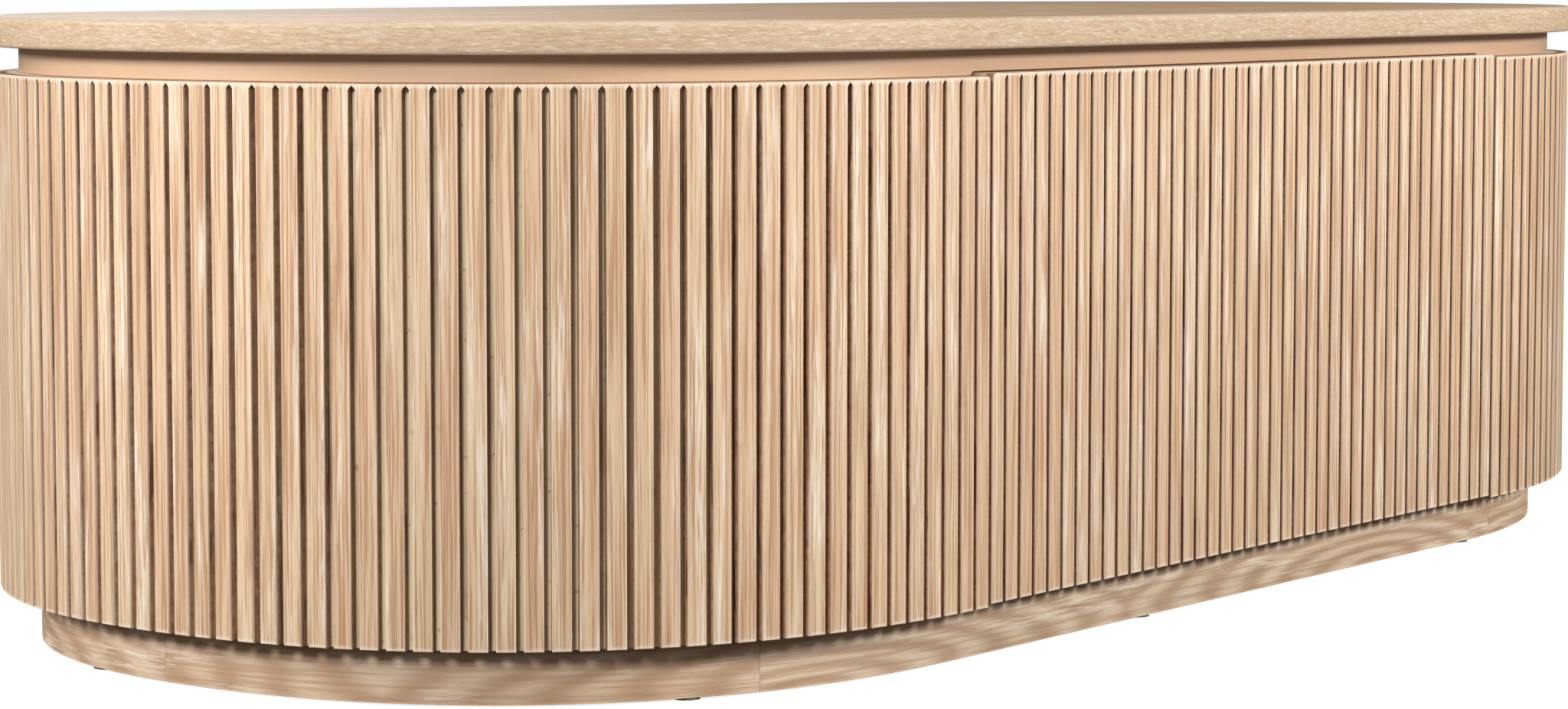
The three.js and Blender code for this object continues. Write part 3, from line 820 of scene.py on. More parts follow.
@dataclass(frozen=True)
class LacquerFinish:
    """A smooth satin lacquer over the frieze.

    Args:
        name: The material's name.
        tint: Its colour.
        cloud: What it drifts to over a hand's breadth.
        roughness: Its mean roughness.
        rub: The pale, rubbed places.
        line: The colour of the painted shade where the lacquer meets the tabletop.
        painted_shade_top: The painted shade's upper edge.
        painted_shade_start: How far under that edge the painted shade starts to fade.
        painted_shade_end: How far under it the painted shade ends.
        painted_shade_depth: How dark the painted shade is, from 0 to 1.
    """

    name: str
    tint: str = "c9a98b"
    cloud: str = "c4a384"
    roughness: float = 0.32
    rub: str = "e9d6bf"
    line: str = "6b4636"
    painted_shade_top: float = 423.2 * MM
    painted_shade_start: float = 3.0 * MM
    painted_shade_end: float = 7.0 * MM
    painted_shade_depth: float = 0.3

    def build(self) -> bpy.types.Material:
        """Makes the material, with a faint drift, orange peel, pale rubs and painted shade at its top, under
        the tabletop.

        Returns:
            The finished material.
        """
        material = bpy.data.materials.new(self.name)
        material.use_nodes = True
        graph = Graph(material.node_tree)
        own = graph.node("ShaderNodeTexCoord").outputs["Object"]
        drift = graph.noise(own, 4.0, 2.0, 0.5)
        colour = graph.mix(graph.ramp(drift, 0.3, 0.7), paint(self.tint), paint(self.cloud))
        rub = graph.noise(graph.vector("MULTIPLY", own, (1.0, 1.0, 9.0)), 60.0, 4.0, 0.7)
        colour = graph.mix(graph.ramp(rub, 0.6, 0.76, 0.0, 0.1), colour, paint(self.rub))
        # Painted shade: the top of the frieze darkens under the tabletop's overhang.
        height = graph.node("ShaderNodeSeparateXYZ", {0: own}).outputs[2]
        under = graph.math("SUBTRACT", self.painted_shade_top, height)
        painted_shade_mask = graph.ramp(under, self.painted_shade_start, self.painted_shade_end, self.painted_shade_depth, 0.0)
        colour = graph.mix(painted_shade_mask, colour, paint(self.line))
        rough = graph.math("MULTIPLY_ADD", graph.noise(own, 30.0, 3.0), 0.12, self.roughness - 0.06)
        peel = graph.noise(own, 520.0, 2.0)
        bump = graph.node("ShaderNodeBump", {"Height": peel, "Distance": 0.05 * MM, "Strength": 0.35})
        shader = graph.node("ShaderNodeBsdfPrincipled", {
            "Base Color": colour, "Roughness": rough, "Normal": bump.outputs[0],
            "Coat Weight": 0.35, "Coat Roughness": 0.18,
        })
        graph.node("ShaderNodeOutputMaterial", {0: shader.outputs[0]})
        return material


@dataclass(frozen=True)
class MetalFinish:
    """Zinc-plated steel, rolled along one direction.

    Args:
        name: The material's name.
        tint: Its colour.
        cloud: What it dulls to.
        roughness: Its mean roughness.
    """

    name: str
    tint: str = "b9bab8"
    cloud: str = "8f908d"
    roughness: float = 0.34

    def build(self) -> bpy.types.Material:
        """Makes the material, with rolling marks and dull, fingered patches.

        Returns:
            The finished material.
        """
        material = bpy.data.materials.new(self.name)
        material.use_nodes = True
        graph = Graph(material.node_tree)
        own = graph.node("ShaderNodeTexCoord").outputs["Object"]
        rolled = graph.noise(graph.vector("MULTIPLY", own, (30.0, 900.0, 900.0)), 1.0, 3.0, 0.6)
        dull = graph.noise(own, 60.0, 3.0, 0.6)
        colour = graph.mix(graph.ramp(dull, 0.35, 0.7), paint(self.tint), paint(self.cloud))
        rough = graph.math("ADD", graph.math("MULTIPLY", rolled, 0.16),
                           graph.math("MULTIPLY_ADD", dull, 0.2, self.roughness - 0.18))
        bump = graph.node("ShaderNodeBump", {"Height": rolled, "Distance": 0.02 * MM, "Strength": 0.4})
        shader = graph.node("ShaderNodeBsdfPrincipled", {
            "Base Color": colour, "Metallic": 0.92, "Roughness": rough, "Normal": bump.outputs[0],
        })
        graph.node("ShaderNodeOutputMaterial", {0: shader.outputs[0]})
        return material


@dataclass(frozen=True)
class MouldedFinish:
    """Moulded plastic with a fine spark-eroded texture.

    Args:
        name: The material's name.
        tint: Its colour.
        cloud: What it drifts to.
        roughness: Its mean roughness.
    """

    name: str
    tint: str
    cloud: str
    roughness: float = 0.45

    def build(self) -> bpy.types.Material:
        """Makes the material.

        Returns:
            The finished material.
        """
        material = bpy.data.materials.new(self.name)
        material.use_nodes = True
        graph = Graph(material.node_tree)
        own = graph.node("ShaderNodeTexCoord").outputs["Object"]
        pebble = graph.node("ShaderNodeTexVoronoi", {"Vector": own, "Scale": 2600.0}).outputs["Distance"]
        drift = graph.noise(own, 40.0, 3.0)
        colour = graph.mix(graph.ramp(drift, 0.3, 0.7), paint(self.tint), paint(self.cloud))
        rough = graph.math("MULTIPLY_ADD", drift, 0.18, self.roughness - 0.09)
        bump = graph.node("ShaderNodeBump", {"Height": pebble, "Distance": 0.04 * MM, "Strength": 0.5})
        shader = graph.node("ShaderNodeBsdfPrincipled", {
            "Base Color": colour, "Roughness": rough, "Normal": bump.outputs[0],
        })
        graph.node("ShaderNodeOutputMaterial", {0: shader.outputs[0]})
        return material


class Palette:
    """Every finish of the cabinet, built once."""

    def __init__(self) -> None:
        """Builds the materials."""
        effects = Effects()
        self.slat = SlatFinish("limed_slat", Reading.SLAT, pale="e2caa8", warm="dcba99", streak="a8754f",
                               lime="f1e7d8", streak_width=0.8 * MM, streak_length=75 * MM, streak_depth=0.7,
                               lime_amount=0.35, lime_depth=0.7, ring_depth=0.3).build(effects)
        self.groove = GrooveFinish("groove_floor", Reading.GROOVE).build(effects)
        self.top = WoodFinish("tabletop_face", Reading.ALONG_X, pale="c4a680", warm="b89570",
                              ring_spacing=9 * MM, ring_slant=0.03, streak_width=1.3 * MM,
                              streak_length=90 * MM, lime_amount=0.35).build(effects)
        self.rim = RunFinish("tabletop_rim", Reading.RUN, pale="c8b092", warm="c2a586", streak="a9835e",
                             lime="e2d6c3", edge="e6d6c0",
                             streak_width=0.9 * MM, streak_length=18 * MM, streak_depth=0.35, lime_amount=0.2,
                             lime_depth=0.4, ring_depth=0.1, edge_depth=0.4, dash_depth=0.5).build(effects)
        # The plinth carries painted shadow along its top, under the slats' overhang.
        self.plinth = RunFinish("plinth_board", Reading.RUN, pale="cab69c", warm="bfa389", streak="9a7758",
                                streak_width=1.3 * MM, streak_length=60 * MM, lime_amount=0.3, lime_depth=0.4,
                                ring_spacing=4.5 * MM, ring_slant=0.16, ring_depth=1.0, roughness=0.5,
                                edge_depth=0.3, shade_depth=0.75).build(effects)
        self.board_x = WoodFinish("inner_board_long", Reading.ALONG_X, pale="d2b892", warm="c8a67f",
                                  streak_length=80 * MM, lime_amount=0.3).build(effects)
        self.board_z = WoodFinish("inner_board_upright", Reading.ALONG_Z, pale="d2b892", warm="c8a67f",
                                  streak_length=80 * MM, lime_amount=0.3).build(effects)
        self.board_y = WoodFinish("inner_board_cross", Reading.ALONG_Y, pale="cfb48e", warm="c4a27b",
                                  streak_length=80 * MM, lime_amount=0.3).build(effects)
        # The frieze's lacquer carries painted shade under the tabletop.
        self.lacquer = LacquerFinish("frieze_lacquer", painted_shade_top=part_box("top_deck")[1].z).build()
        self.steel = MetalFinish("zinc_steel").build()
        self.black = MouldedFinish("black_moulding", "1d1b18", "2b2823").build()
        self.nylon = MouldedFinish("grey_nylon", "6f685d", "5c564c", 0.55).build()


# ---- Mesh helpers ----


def link(name: str, mesh: bpy.types.Mesh) -> bpy.types.Object:
    """Puts a mesh in the scene as an object at the origin.

    Args:
        name: The object's name.
        mesh: Its mesh.

    Returns:
        The object.
    """
    made = bpy.data.objects.new(name, mesh)
    bpy.context.scene.collection.objects.link(made)
    return made


def finish_mesh(bm: bmesh.types.BMesh, name: str, material: bpy.types.Material | None = None,
                sharp: float = 32.0) -> bpy.types.Mesh:
    """Closes a bmesh off as a smooth-shaded mesh with sharp arrises.

    Args:
        bm: The shape, which is freed.
        name: The mesh's name.
        material: Its finish, or None where the faces already have theirs.
        sharp: The angle, in degrees, past which an edge stays sharp.

    Returns:
        The mesh.
    """
    bmesh.ops.recalc_face_normals(bm, faces=bm.faces)
    for face in bm.faces:
        face.smooth = True
    mesh = bpy.data.meshes.new(name)
    bm.to_mesh(mesh)
    bm.free()
    mesh.set_sharp_from_angle(angle=math.radians(sharp))
    if material is not None:
        mesh.materials.append(material)
    return mesh


def store(mesh: bpy.types.Mesh, name: str, value: Callable[[Vector], float]) -> None:
    """Keeps one number on each vertex for the finishes to read.

    Args:
        mesh: The mesh.
        name: The attribute's name.
        value: Gives the number from the vertex's place.
    """
    layer = mesh.attributes.new(name, "FLOAT", "POINT")
    layer.data.foreach_set("value", [value(v.co) for v in mesh.vertices])


def evaluate(obj: bpy.types.Object) -> None:
    """Turns an object's modifiers into a plain mesh and takes them off.

    Args:
        obj: The object, which keeps its name.
    """
    graph = bpy.context.evaluated_depsgraph_get()
    mesh = bpy.data.meshes.new_from_object(obj.evaluated_get(graph), preserve_all_data_layers=True,
                                           depsgraph=graph)
    obj.modifiers.clear()
    old = obj.data
    obj.data = mesh
    mesh.name = obj.name
    if old.users == 0:
        bpy.data.meshes.remove(old)


def sweep(plan: Plan, distances: Sequence[float], profile: Sequence[Point]) -> bmesh.types.BMesh:
    """Carries a closed section round the outline.

    Args:
        plan: The outline.
        distances: Where the section stands.
        profile: The section's corners as inset and height.

    Returns:
        The solid, capped at both ends, with a map named run that gives the distance along and round the
        section.
    """
    bm = bmesh.new()
    run = bm.loops.layers.uv.new("run")
    rows = [[bm.verts.new(plan.place(d, inset, z)) for inset, z in profile] for d in distances]
    reach = [0.0]
    for first, second in zip(profile, [*profile[1:], profile[0]]):
        reach.append(reach[-1] + math.dist(first, second))
    count = len(profile)
    for i in range(len(rows) - 1):
        near, far = distances[i], distances[i + 1]
        for j in range(count):
            n = (j + 1) % count
            face = bm.faces.new((rows[i][j], rows[i + 1][j], rows[i + 1][n], rows[i][n]))
            places = ((near, reach[j]), (far, reach[j]), (far, reach[j + 1]), (near, reach[j + 1]))
            for corner, place in zip(face.loops, places):
                corner[run].uv = place
    for row in (rows[0], rows[-1]):
        cap = bm.faces.new(row)
        for corner, (inset, z) in zip(cap.loops, profile):
            corner[run].uv = (distances[0] + inset, z)
    return bm


def prism(front: Sequence[Vector], back: Sequence[Vector]) -> bmesh.types.BMesh:
    """Makes the solid between two outlines.

    Args:
        front: The first outline.
        back: The second one, with as many points.

    Returns:
        The solid, whose first face is the front outline.
    """
    bm = bmesh.new()
    near = [bm.verts.new(place) for place in front]
    far = [bm.verts.new(place) for place in back]
    bm.faces.new(near)
    bm.faces.new(list(reversed(far)))
    for i in range(len(near)):
        k = (i + 1) % len(near)
        bm.faces.new((near[i], far[i], far[k], near[k]))
    return bm


def rounded(corner: Point, before: Point, after: Point, radius: float, steps: int) -> list[Point]:
    """Eases one square corner of a section.

    Args:
        corner: The corner.
        before: The unit direction from the corner back to the one before.
        after: The unit direction from the corner on to the next.
        radius: Of the easing.
        steps: Facets in the quarter turn.

    Returns:
        The points of the quarter turn, in order.
    """
    centre = (corner[0] + radius * (before[0] + after[0]), corner[1] + radius * (before[1] + after[1]))
    points = []
    for i in range(steps + 1):
        angle = math.pi / 2 * i / steps
        points.append((
            centre[0] - radius * (after[0] * math.cos(angle) + before[0] * math.sin(angle)),
            centre[1] - radius * (after[1] * math.cos(angle) + before[1] * math.sin(angle)),
        ))
    return points


def row_tree() -> bpy.types.NodeTree:
    """Builds the nodes that repeat a piece along a line.

    Returns:
        A tree whose first and last pieces may differ from the rest.
    """
    tree = bpy.data.node_groups.new("pieces_along_line", "GeometryNodeTree")
    sockets = [
        ("Geometry", "NodeSocketGeometry"),
        ("Count", "NodeSocketInt"),
        ("First Piece", "NodeSocketObject"),
        ("Piece", "NodeSocketObject"),
        ("Last Piece", "NodeSocketObject"),
        ("Tone Seed", "NodeSocketInt"),
        ("Finish", "NodeSocketMaterial"),
    ]
    for label, kind in sockets:
        tree.interface.new_socket(label, in_out="INPUT", socket_type=kind)
    tree.interface.new_socket("Geometry", in_out="OUTPUT", socket_type="NodeSocketGeometry")
    graph = Graph(tree)
    given = graph.node("NodeGroupInput").outputs
    curve = graph.node("GeometryNodeMeshToCurve", {0: given["Geometry"]}).outputs[0]
    line = graph.node("GeometryNodeResampleCurve", {"Curve": curve, "Count": given["Count"]}).outputs[0]
    tangent = graph.node("GeometryNodeInputTangent").outputs[0]
    turned = graph.node("FunctionNodeAlignRotationToVector", {"Vector": tangent}, axis="X", pivot_axis="Z")
    index = graph.node("GeometryNodeInputIndex").outputs[0]
    is_first = graph.node("FunctionNodeCompare", {2: index, 3: 0}, data_type="INT", operation="EQUAL")
    final = graph.math("SUBTRACT", given["Count"], 1)
    is_last = graph.node("FunctionNodeCompare", {2: index, 3: final}, data_type="INT", operation="EQUAL")
    either = graph.node("FunctionNodeBooleanMath", {0: is_first.outputs[0], 1: is_last.outputs[0]},
                        operation="OR").outputs[0]
    between = graph.node("FunctionNodeBooleanMath", {0: either}, operation="NOT").outputs[0]
    gathered = graph.node("GeometryNodeJoinGeometry")
    for label, chosen in (("First Piece", is_first.outputs[0]), ("Piece", between),
                          ("Last Piece", is_last.outputs[0])):
        model = graph.node("GeometryNodeObjectInfo", {"Object": given[label]}).outputs["Geometry"]
        placed = graph.node("GeometryNodeInstanceOnPoints", {
            "Points": line, "Selection": chosen, "Instance": model, "Rotation": turned.outputs[0],
        }).outputs[0]
        tree.links.new(placed, gathered.inputs[0])
    order = graph.node("GeometryNodeInputIndex").outputs[0]
    chance = graph.node("FunctionNodeRandomValue", {"ID": order, "Seed": given["Tone Seed"]},
                        data_type="FLOAT")
    toned = graph.node("GeometryNodeStoreNamedAttribute", {
        "Geometry": gathered.outputs[0], "Name": "tone",
    }, data_type="FLOAT", domain="INSTANCE")
    tree.links.new(chance.outputs[1], next(s for s in toned.inputs if s.name == "Value" and s.enabled))
    solid = graph.node("GeometryNodeRealizeInstances", {0: toned.outputs[0]}).outputs[0]
    coloured = graph.node("GeometryNodeSetMaterial", {"Geometry": solid, "Material": given["Finish"]})
    graph.node("NodeGroupOutput", {0: coloured.outputs[0]})
    return tree


def row_of(name: str, points: Sequence[Vector], tree: bpy.types.NodeTree, meshes: Sequence[bpy.types.Mesh],
           count: int, seed: int, material: bpy.types.Material) -> bpy.types.Object:
    """Repeats a piece along a line.

    Args:
        name: The result's name.
        points: The line.
        tree: The nodes that repeat a piece.
        meshes: The first, the middle and the last piece, at the origin and facing -Y. They are used up.
        count: How many pieces there are.
        seed: Sets their tones.
        material: Their finish.

    Returns:
        All of them as one piece.
    """
    path = bpy.data.meshes.new(name)
    path.from_pydata(points, [(i, i + 1) for i in range(len(points) - 1)], [])
    piece = link(name, path)
    labels = ("First Piece", "Piece", "Last Piece")
    models = {label: link(label, mesh) for label, mesh in zip(labels, meshes)}
    modifier = piece.modifiers.new("row", "NODES")
    modifier.node_group = tree
    wanted = {**models, "Count": count, "Tone Seed": seed, "Finish": material}
    for item in tree.interface.items_tree:
        if item.item_type == "SOCKET" and item.in_out == "INPUT" and item.name in wanted:
            modifier[item.identifier] = wanted[item.name]
    bpy.context.view_layer.update()
    evaluate(piece)
    for model in models.values():
        mesh = model.data
        bpy.data.objects.remove(model)
        bpy.data.meshes.remove(mesh)
    return piece


def spread_to_corners(mesh: bpy.types.Mesh) -> None:
    """Moves numbers kept on vertices to face corners, where a cut carries them on.

    Args:
        mesh: The mesh.
    """
    names = [a.name for a in mesh.attributes if a.data_type == "FLOAT" and a.domain == "POINT"]
    for name in names:
        values = [item.value for item in mesh.attributes[name].data]
        mesh.attributes.remove(mesh.attributes[name])
        layer = mesh.attributes.new(name, "FLOAT", "CORNER")
        layer.data.foreach_set("value", [values[corner.vertex_index] for corner in mesh.loops])


def shells(mesh: bpy.types.Mesh) -> list[set[int]]:
    """Sorts a mesh's vertices by the closed shell they belong to.

    Args:
        mesh: The mesh.

    Returns:
        The vertex numbers of each shell.
    """
    bm = bmesh.new()
    bm.from_mesh(mesh)
    waiting = set(bm.verts)
    found = []
    while waiting:
        queue = [waiting.pop()]
        group = {queue[0].index}
        while queue:
            for edge in queue.pop().link_edges:
                for vertex in edge.verts:
                    if vertex in waiting:
                        waiting.discard(vertex)
                        group.add(vertex.index)
                        queue.append(vertex)
        found.append(group)
    bm.free()
    return sorted(found, key=min)


def kept(mesh: bpy.types.Mesh, numbers: set[int]) -> bpy.types.Mesh:
    """Copies the part of a mesh that has these vertices.

    Args:
        mesh: The mesh, which stays as it is.
        numbers: The vertex numbers that are kept.

    Returns:
        The copy.
    """
    bm = bmesh.new()
    bm.from_mesh(mesh)
    bmesh.ops.delete(bm, geom=[v for v in bm.verts if v.index not in numbers], context="VERTS")
    copy = mesh.copy()
    bm.to_mesh(copy)
    bm.free()
    return copy


def extent(places: Sequence[Vector]) -> tuple[Vector, Vector]:
    """The low and the high corner of the box round some points."""
    low, high = (Vector([pick(p[i] for p in places) for i in range(3)]) for pick in (min, max))
    return low, high


def cut(piece: bpy.types.Object, tool: bpy.types.Mesh) -> None:
    """Cuts one solid out of a piece, shell by shell, so that shells that touch stay whole.

    Args:
        piece: What is cut.
        tool: The solid that is taken away. It is used up.
    """
    cutter = link("cutter", tool)
    source = piece.data
    spread_to_corners(source)
    low, high = extent([v.co for v in tool.vertices])
    touched, whole = [], set()
    for shell in shells(source):
        near, far = extent([source.vertices[i].co for i in shell])
        if any(near[i] > high[i] or far[i] < low[i] for i in range(3)):
            whole |= shell
        else:
            touched.append(shell)
    joined = bmesh.new()
    if whole:
        rest = kept(source, whole)
        joined.from_mesh(rest)
        bpy.data.meshes.remove(rest)
    for shell in touched:
        part = link("part", kept(source, shell))
        modifier = part.modifiers.new("cut", "BOOLEAN")
        modifier.operation = "DIFFERENCE"
        modifier.solver = "EXACT"
        modifier.object = cutter
        bpy.context.view_layer.update()
        evaluate(part)
        joined.from_mesh(part.data)
        mesh = part.data
        bpy.data.objects.remove(part)
        bpy.data.meshes.remove(mesh)
    joined.to_mesh(source)
    joined.free()
    source.set_sharp_from_angle(angle=math.radians(SLAT_SHARP))
    bpy.data.objects.remove(cutter)
    bpy.data.meshes.remove(tool)


# ---- Fluted skin ----


@dataclass
class FlutedPanel:
    """One run of slats and the shaped board behind them.

    Args:
        name: What its pieces are called.
        node: The frame's node that they stand for.
        body: What they ride on.
        start: Where the run starts, in distance along the outline.
        count: How many slats it has.
        pitch: From slat to slat.
        flush_start: Whether its first side is a slat's side, or runs on to the next panel.
        flush_end: The same for its last side.
        low: Its lower edge.
        high: Its upper edge.
        sizes: The shared sizes.
        seed: Sets its tones.
        edge_ease: Easing of the slats' arrises.
        corner: Radius at the top corner of a flush side.
        arch_steps: Facets in half an arch.
        rooted: How far a slat's back stands in the board.
        board_drop: How far the board's top stays under the slats' tops.
    """

    name: str
    node: str
    body: Body
    start: float
    count: int
    pitch: float
    flush_start: bool
    flush_end: bool
    low: float
    high: float
    sizes: Sizes
    seed: int
    edge_ease: float = 0.55 * MM
    corner: float = 3.0 * MM
    arch_steps: int = 5
    rooted: float = 0.6 * MM
    board_drop: float = 0.04 * MM

    @property
    def half_face(self) -> float:
        """Half of a slat's width."""
        return (self.pitch - GROOVE) / 2

    def _half_outline(self, flush: bool) -> list[Point]:
        """Draws the right half of a slat's outline, seen from the front.

        Args:
            flush: Whether it ends in a rounded corner, or in an arch that meets the next slat's.

        Returns:
            Its points, upwards.
        """
        half = self.half_face
        turn = [math.pi / 2 * i / self.arch_steps for i in range(self.arch_steps + 1)]
        if flush:
            corner = self.corner
            eased = [(half - corner * (1 - math.cos(a)), self.high - corner * (1 - math.sin(a)))
                     for a in turn]
            return [(half, self.low), *eased]
        radius = GROOVE / 2
        spring = self.high - TOP_LIP - radius
        arch = [(half + radius * (1 - math.cos(a)), spring + radius * math.sin(a)) for a in turn]
        return [(half, self.low), *arch, (self.pitch / 2, self.high)]

    def _face_outline(self, flush_left: bool, flush_right: bool) -> list[Point]:
        """The slat's whole outline seen from the front."""
        left = [(-x, z) for x, z in self._half_outline(flush_left)]
        return [*self._half_outline(flush_right), *reversed(left)]

    def _slat_mesh(self, label: str, flush_left: bool, flush_right: bool) -> bpy.types.Mesh:
        """Makes one slat with its share of the lip.

        Args:
            label: The mesh's name.
            flush_left: Whether its left side is the panel's own side.
            flush_right: The same for its right side.

        Returns:
            The slat, with its face at Y 0 and its back inside the board.
        """
        outline = self._face_outline(flush_left, flush_right)
        depth = SLAT_DEPTH + self.rooted
        bm = prism([Vector((x, 0.0, z)) for x, z in outline], [Vector((x, depth, z)) for x, z in outline])
        bm.faces.ensure_lookup_table()
        face = bm.faces[0]
        joined = self.pitch / 2 - TOUCH
        eased = [e for e in face.edges if not all(abs(v.co.x) > joined for v in e.verts)]
        bmesh.ops.bevel(bm, geom=eased, offset=self.edge_ease, segments=2, profile=0.5, affect="EDGES")
        mesh = finish_mesh(bm, label, sharp=SLAT_SHARP)
        store(mesh, "across", lambda co: co.x)
        store(mesh, "deep", lambda co: co.y)
        store(mesh, "above", lambda co: co.z - self.low)
        store(mesh, "below", lambda co: self.high - co.z)
        return mesh

    def slats(self, tree: bpy.types.NodeTree, material: bpy.types.Material) -> bpy.types.Object:
        """Sets the slats along the line through the middles of their faces.

        Args:
            tree: The nodes that repeat a piece along a line.
            material: The slats' finish.

        Returns:
            All the slats as one piece.
        """
        first = self.start + self.pitch / 2
        steps = self.count * 4
        reach = (self.count - 1) * self.pitch
        points = [self.sizes.plan.place(first + reach * i / steps) for i in range(steps + 1)]
        meshes = [
            self._slat_mesh("first", self.flush_start, False),
            self._slat_mesh("middle", False, False),
            self._slat_mesh("last", False, self.flush_end),
        ]
        return row_of(self.name + "_slats", points, tree, meshes, self.count, self.seed, material)

    def board(self, material: bpy.types.Material) -> bpy.types.Object:
        """The board behind the slats, whose front shows as the floors of the grooves.

        Args:
            material: The finish of the groove floors.

        Returns:
            The board.
        """
        plan = self.sizes.plan
        draw = random.Random(self.seed)
        gap = GROOVE / 2
        first = self.start + (gap if self.flush_start else SKIN_JOINT / 2)
        last = self.start + self.count * self.pitch - (gap if self.flush_end else SKIN_JOINT / 2)
        distances = [first]
        tones = [draw.random()]
        for i in range(self.count + 1):
            line = self.start + i * self.pitch
            tone = draw.random()
            for place in (line - gap, line + gap):
                if first + 10 * TOUCH < place < last - 10 * TOUCH:
                    distances.append(place)
                    tones.append(tone)
        distances.append(last)
        tones.append(draw.random())
        low, high = self.low, self.high - self.board_drop
        profile = [(SLAT_DEPTH, low), (SLAT_DEPTH, high), (self.sizes.panel, high), (self.sizes.panel, low)]
        bm = sweep(plan, distances, profile)
        mesh = finish_mesh(bm, self.name + "_board", material)
        tone_layer = mesh.attributes.new("tone", "FLOAT", "POINT")
        tone_layer.data.foreach_set("value", [tones[i // len(profile)] for i in range(len(mesh.vertices))])
        level = mesh.attributes.new("level", "FLOAT", "FACE")
        level.data.foreach_set("value", [1.0 if abs(p.normal.z) > 0.5 else 0.0 for p in mesh.polygons])
        inside = mesh.attributes.new("inside", "FLOAT", "FACE")
        count = len(profile)
        swept = (len(distances) - 1) * count
        inside.data.foreach_set("value", [
            1.0 if i < swept and i % count == 2 else 0.0 for i in range(len(mesh.polygons))])
        return link(self.name + "_board", mesh)


class FlutedSkin:
    """The four fluted panels: two rounded ends, the back and the flap."""

    def __init__(self, sizes: Sizes, palette: Palette) -> None:
        """Sets out the panels.

        Args:
            sizes: The shared sizes.
            palette: The finishes.
        """
        self.sizes = sizes
        self.palette = palette
        plan = sizes.plan
        low, high = sizes.skin
        end_pitch = plan.end_length / sizes.end_slats
        flap_low, flap_high = sizes.flap
        self.panels = [
            FlutedPanel("right_end", "right_end_panel", Body.CABINET, start=plan.flat, count=sizes.end_slats,
                        pitch=end_pitch, flush_start=True, flush_end=False, low=low, high=high,
                        sizes=sizes, seed=11),
            FlutedPanel("left_end", "left_end_panel", Body.CABINET, start=-plan.end_length,
                        count=sizes.end_slats, pitch=end_pitch, flush_start=False, flush_end=True,
                        low=low, high=high, sizes=sizes, seed=23),
            FlutedPanel("back", "back_panel", Body.CABINET, start=plan.half_loop, count=FLAP_SLATS,
                        pitch=sizes.pitch, flush_start=False, flush_end=False, low=low, high=high,
                        sizes=sizes, seed=37),
            FlutedPanel("flap", "flap_door", Body.FLAP, start=0.0, count=FLAP_SLATS, pitch=sizes.pitch,
                        flush_start=True, flush_end=True, low=flap_low, high=flap_high, sizes=sizes, seed=41),
        ]

    def build(self, tree: bpy.types.NodeTree) -> None:
        """Builds every panel and puts it on its body.

        Args:
            tree: The nodes that repeat a piece along a line.
        """
        for panel in self.panels:
            slats = panel.slats(tree, self.palette.slat)
            board = panel.board(self.palette.groove)
            if panel.node == "back_panel":
                for side in Side:
                    for piece in (slats, board):
                        cut(piece, CableOutlet.measured(side).hole())
            for piece in (slats, board):
                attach(piece, panel.body.value)
                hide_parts(panel.node)
                log.info("%s: %d faces", piece.name, len(piece.data.polygons))


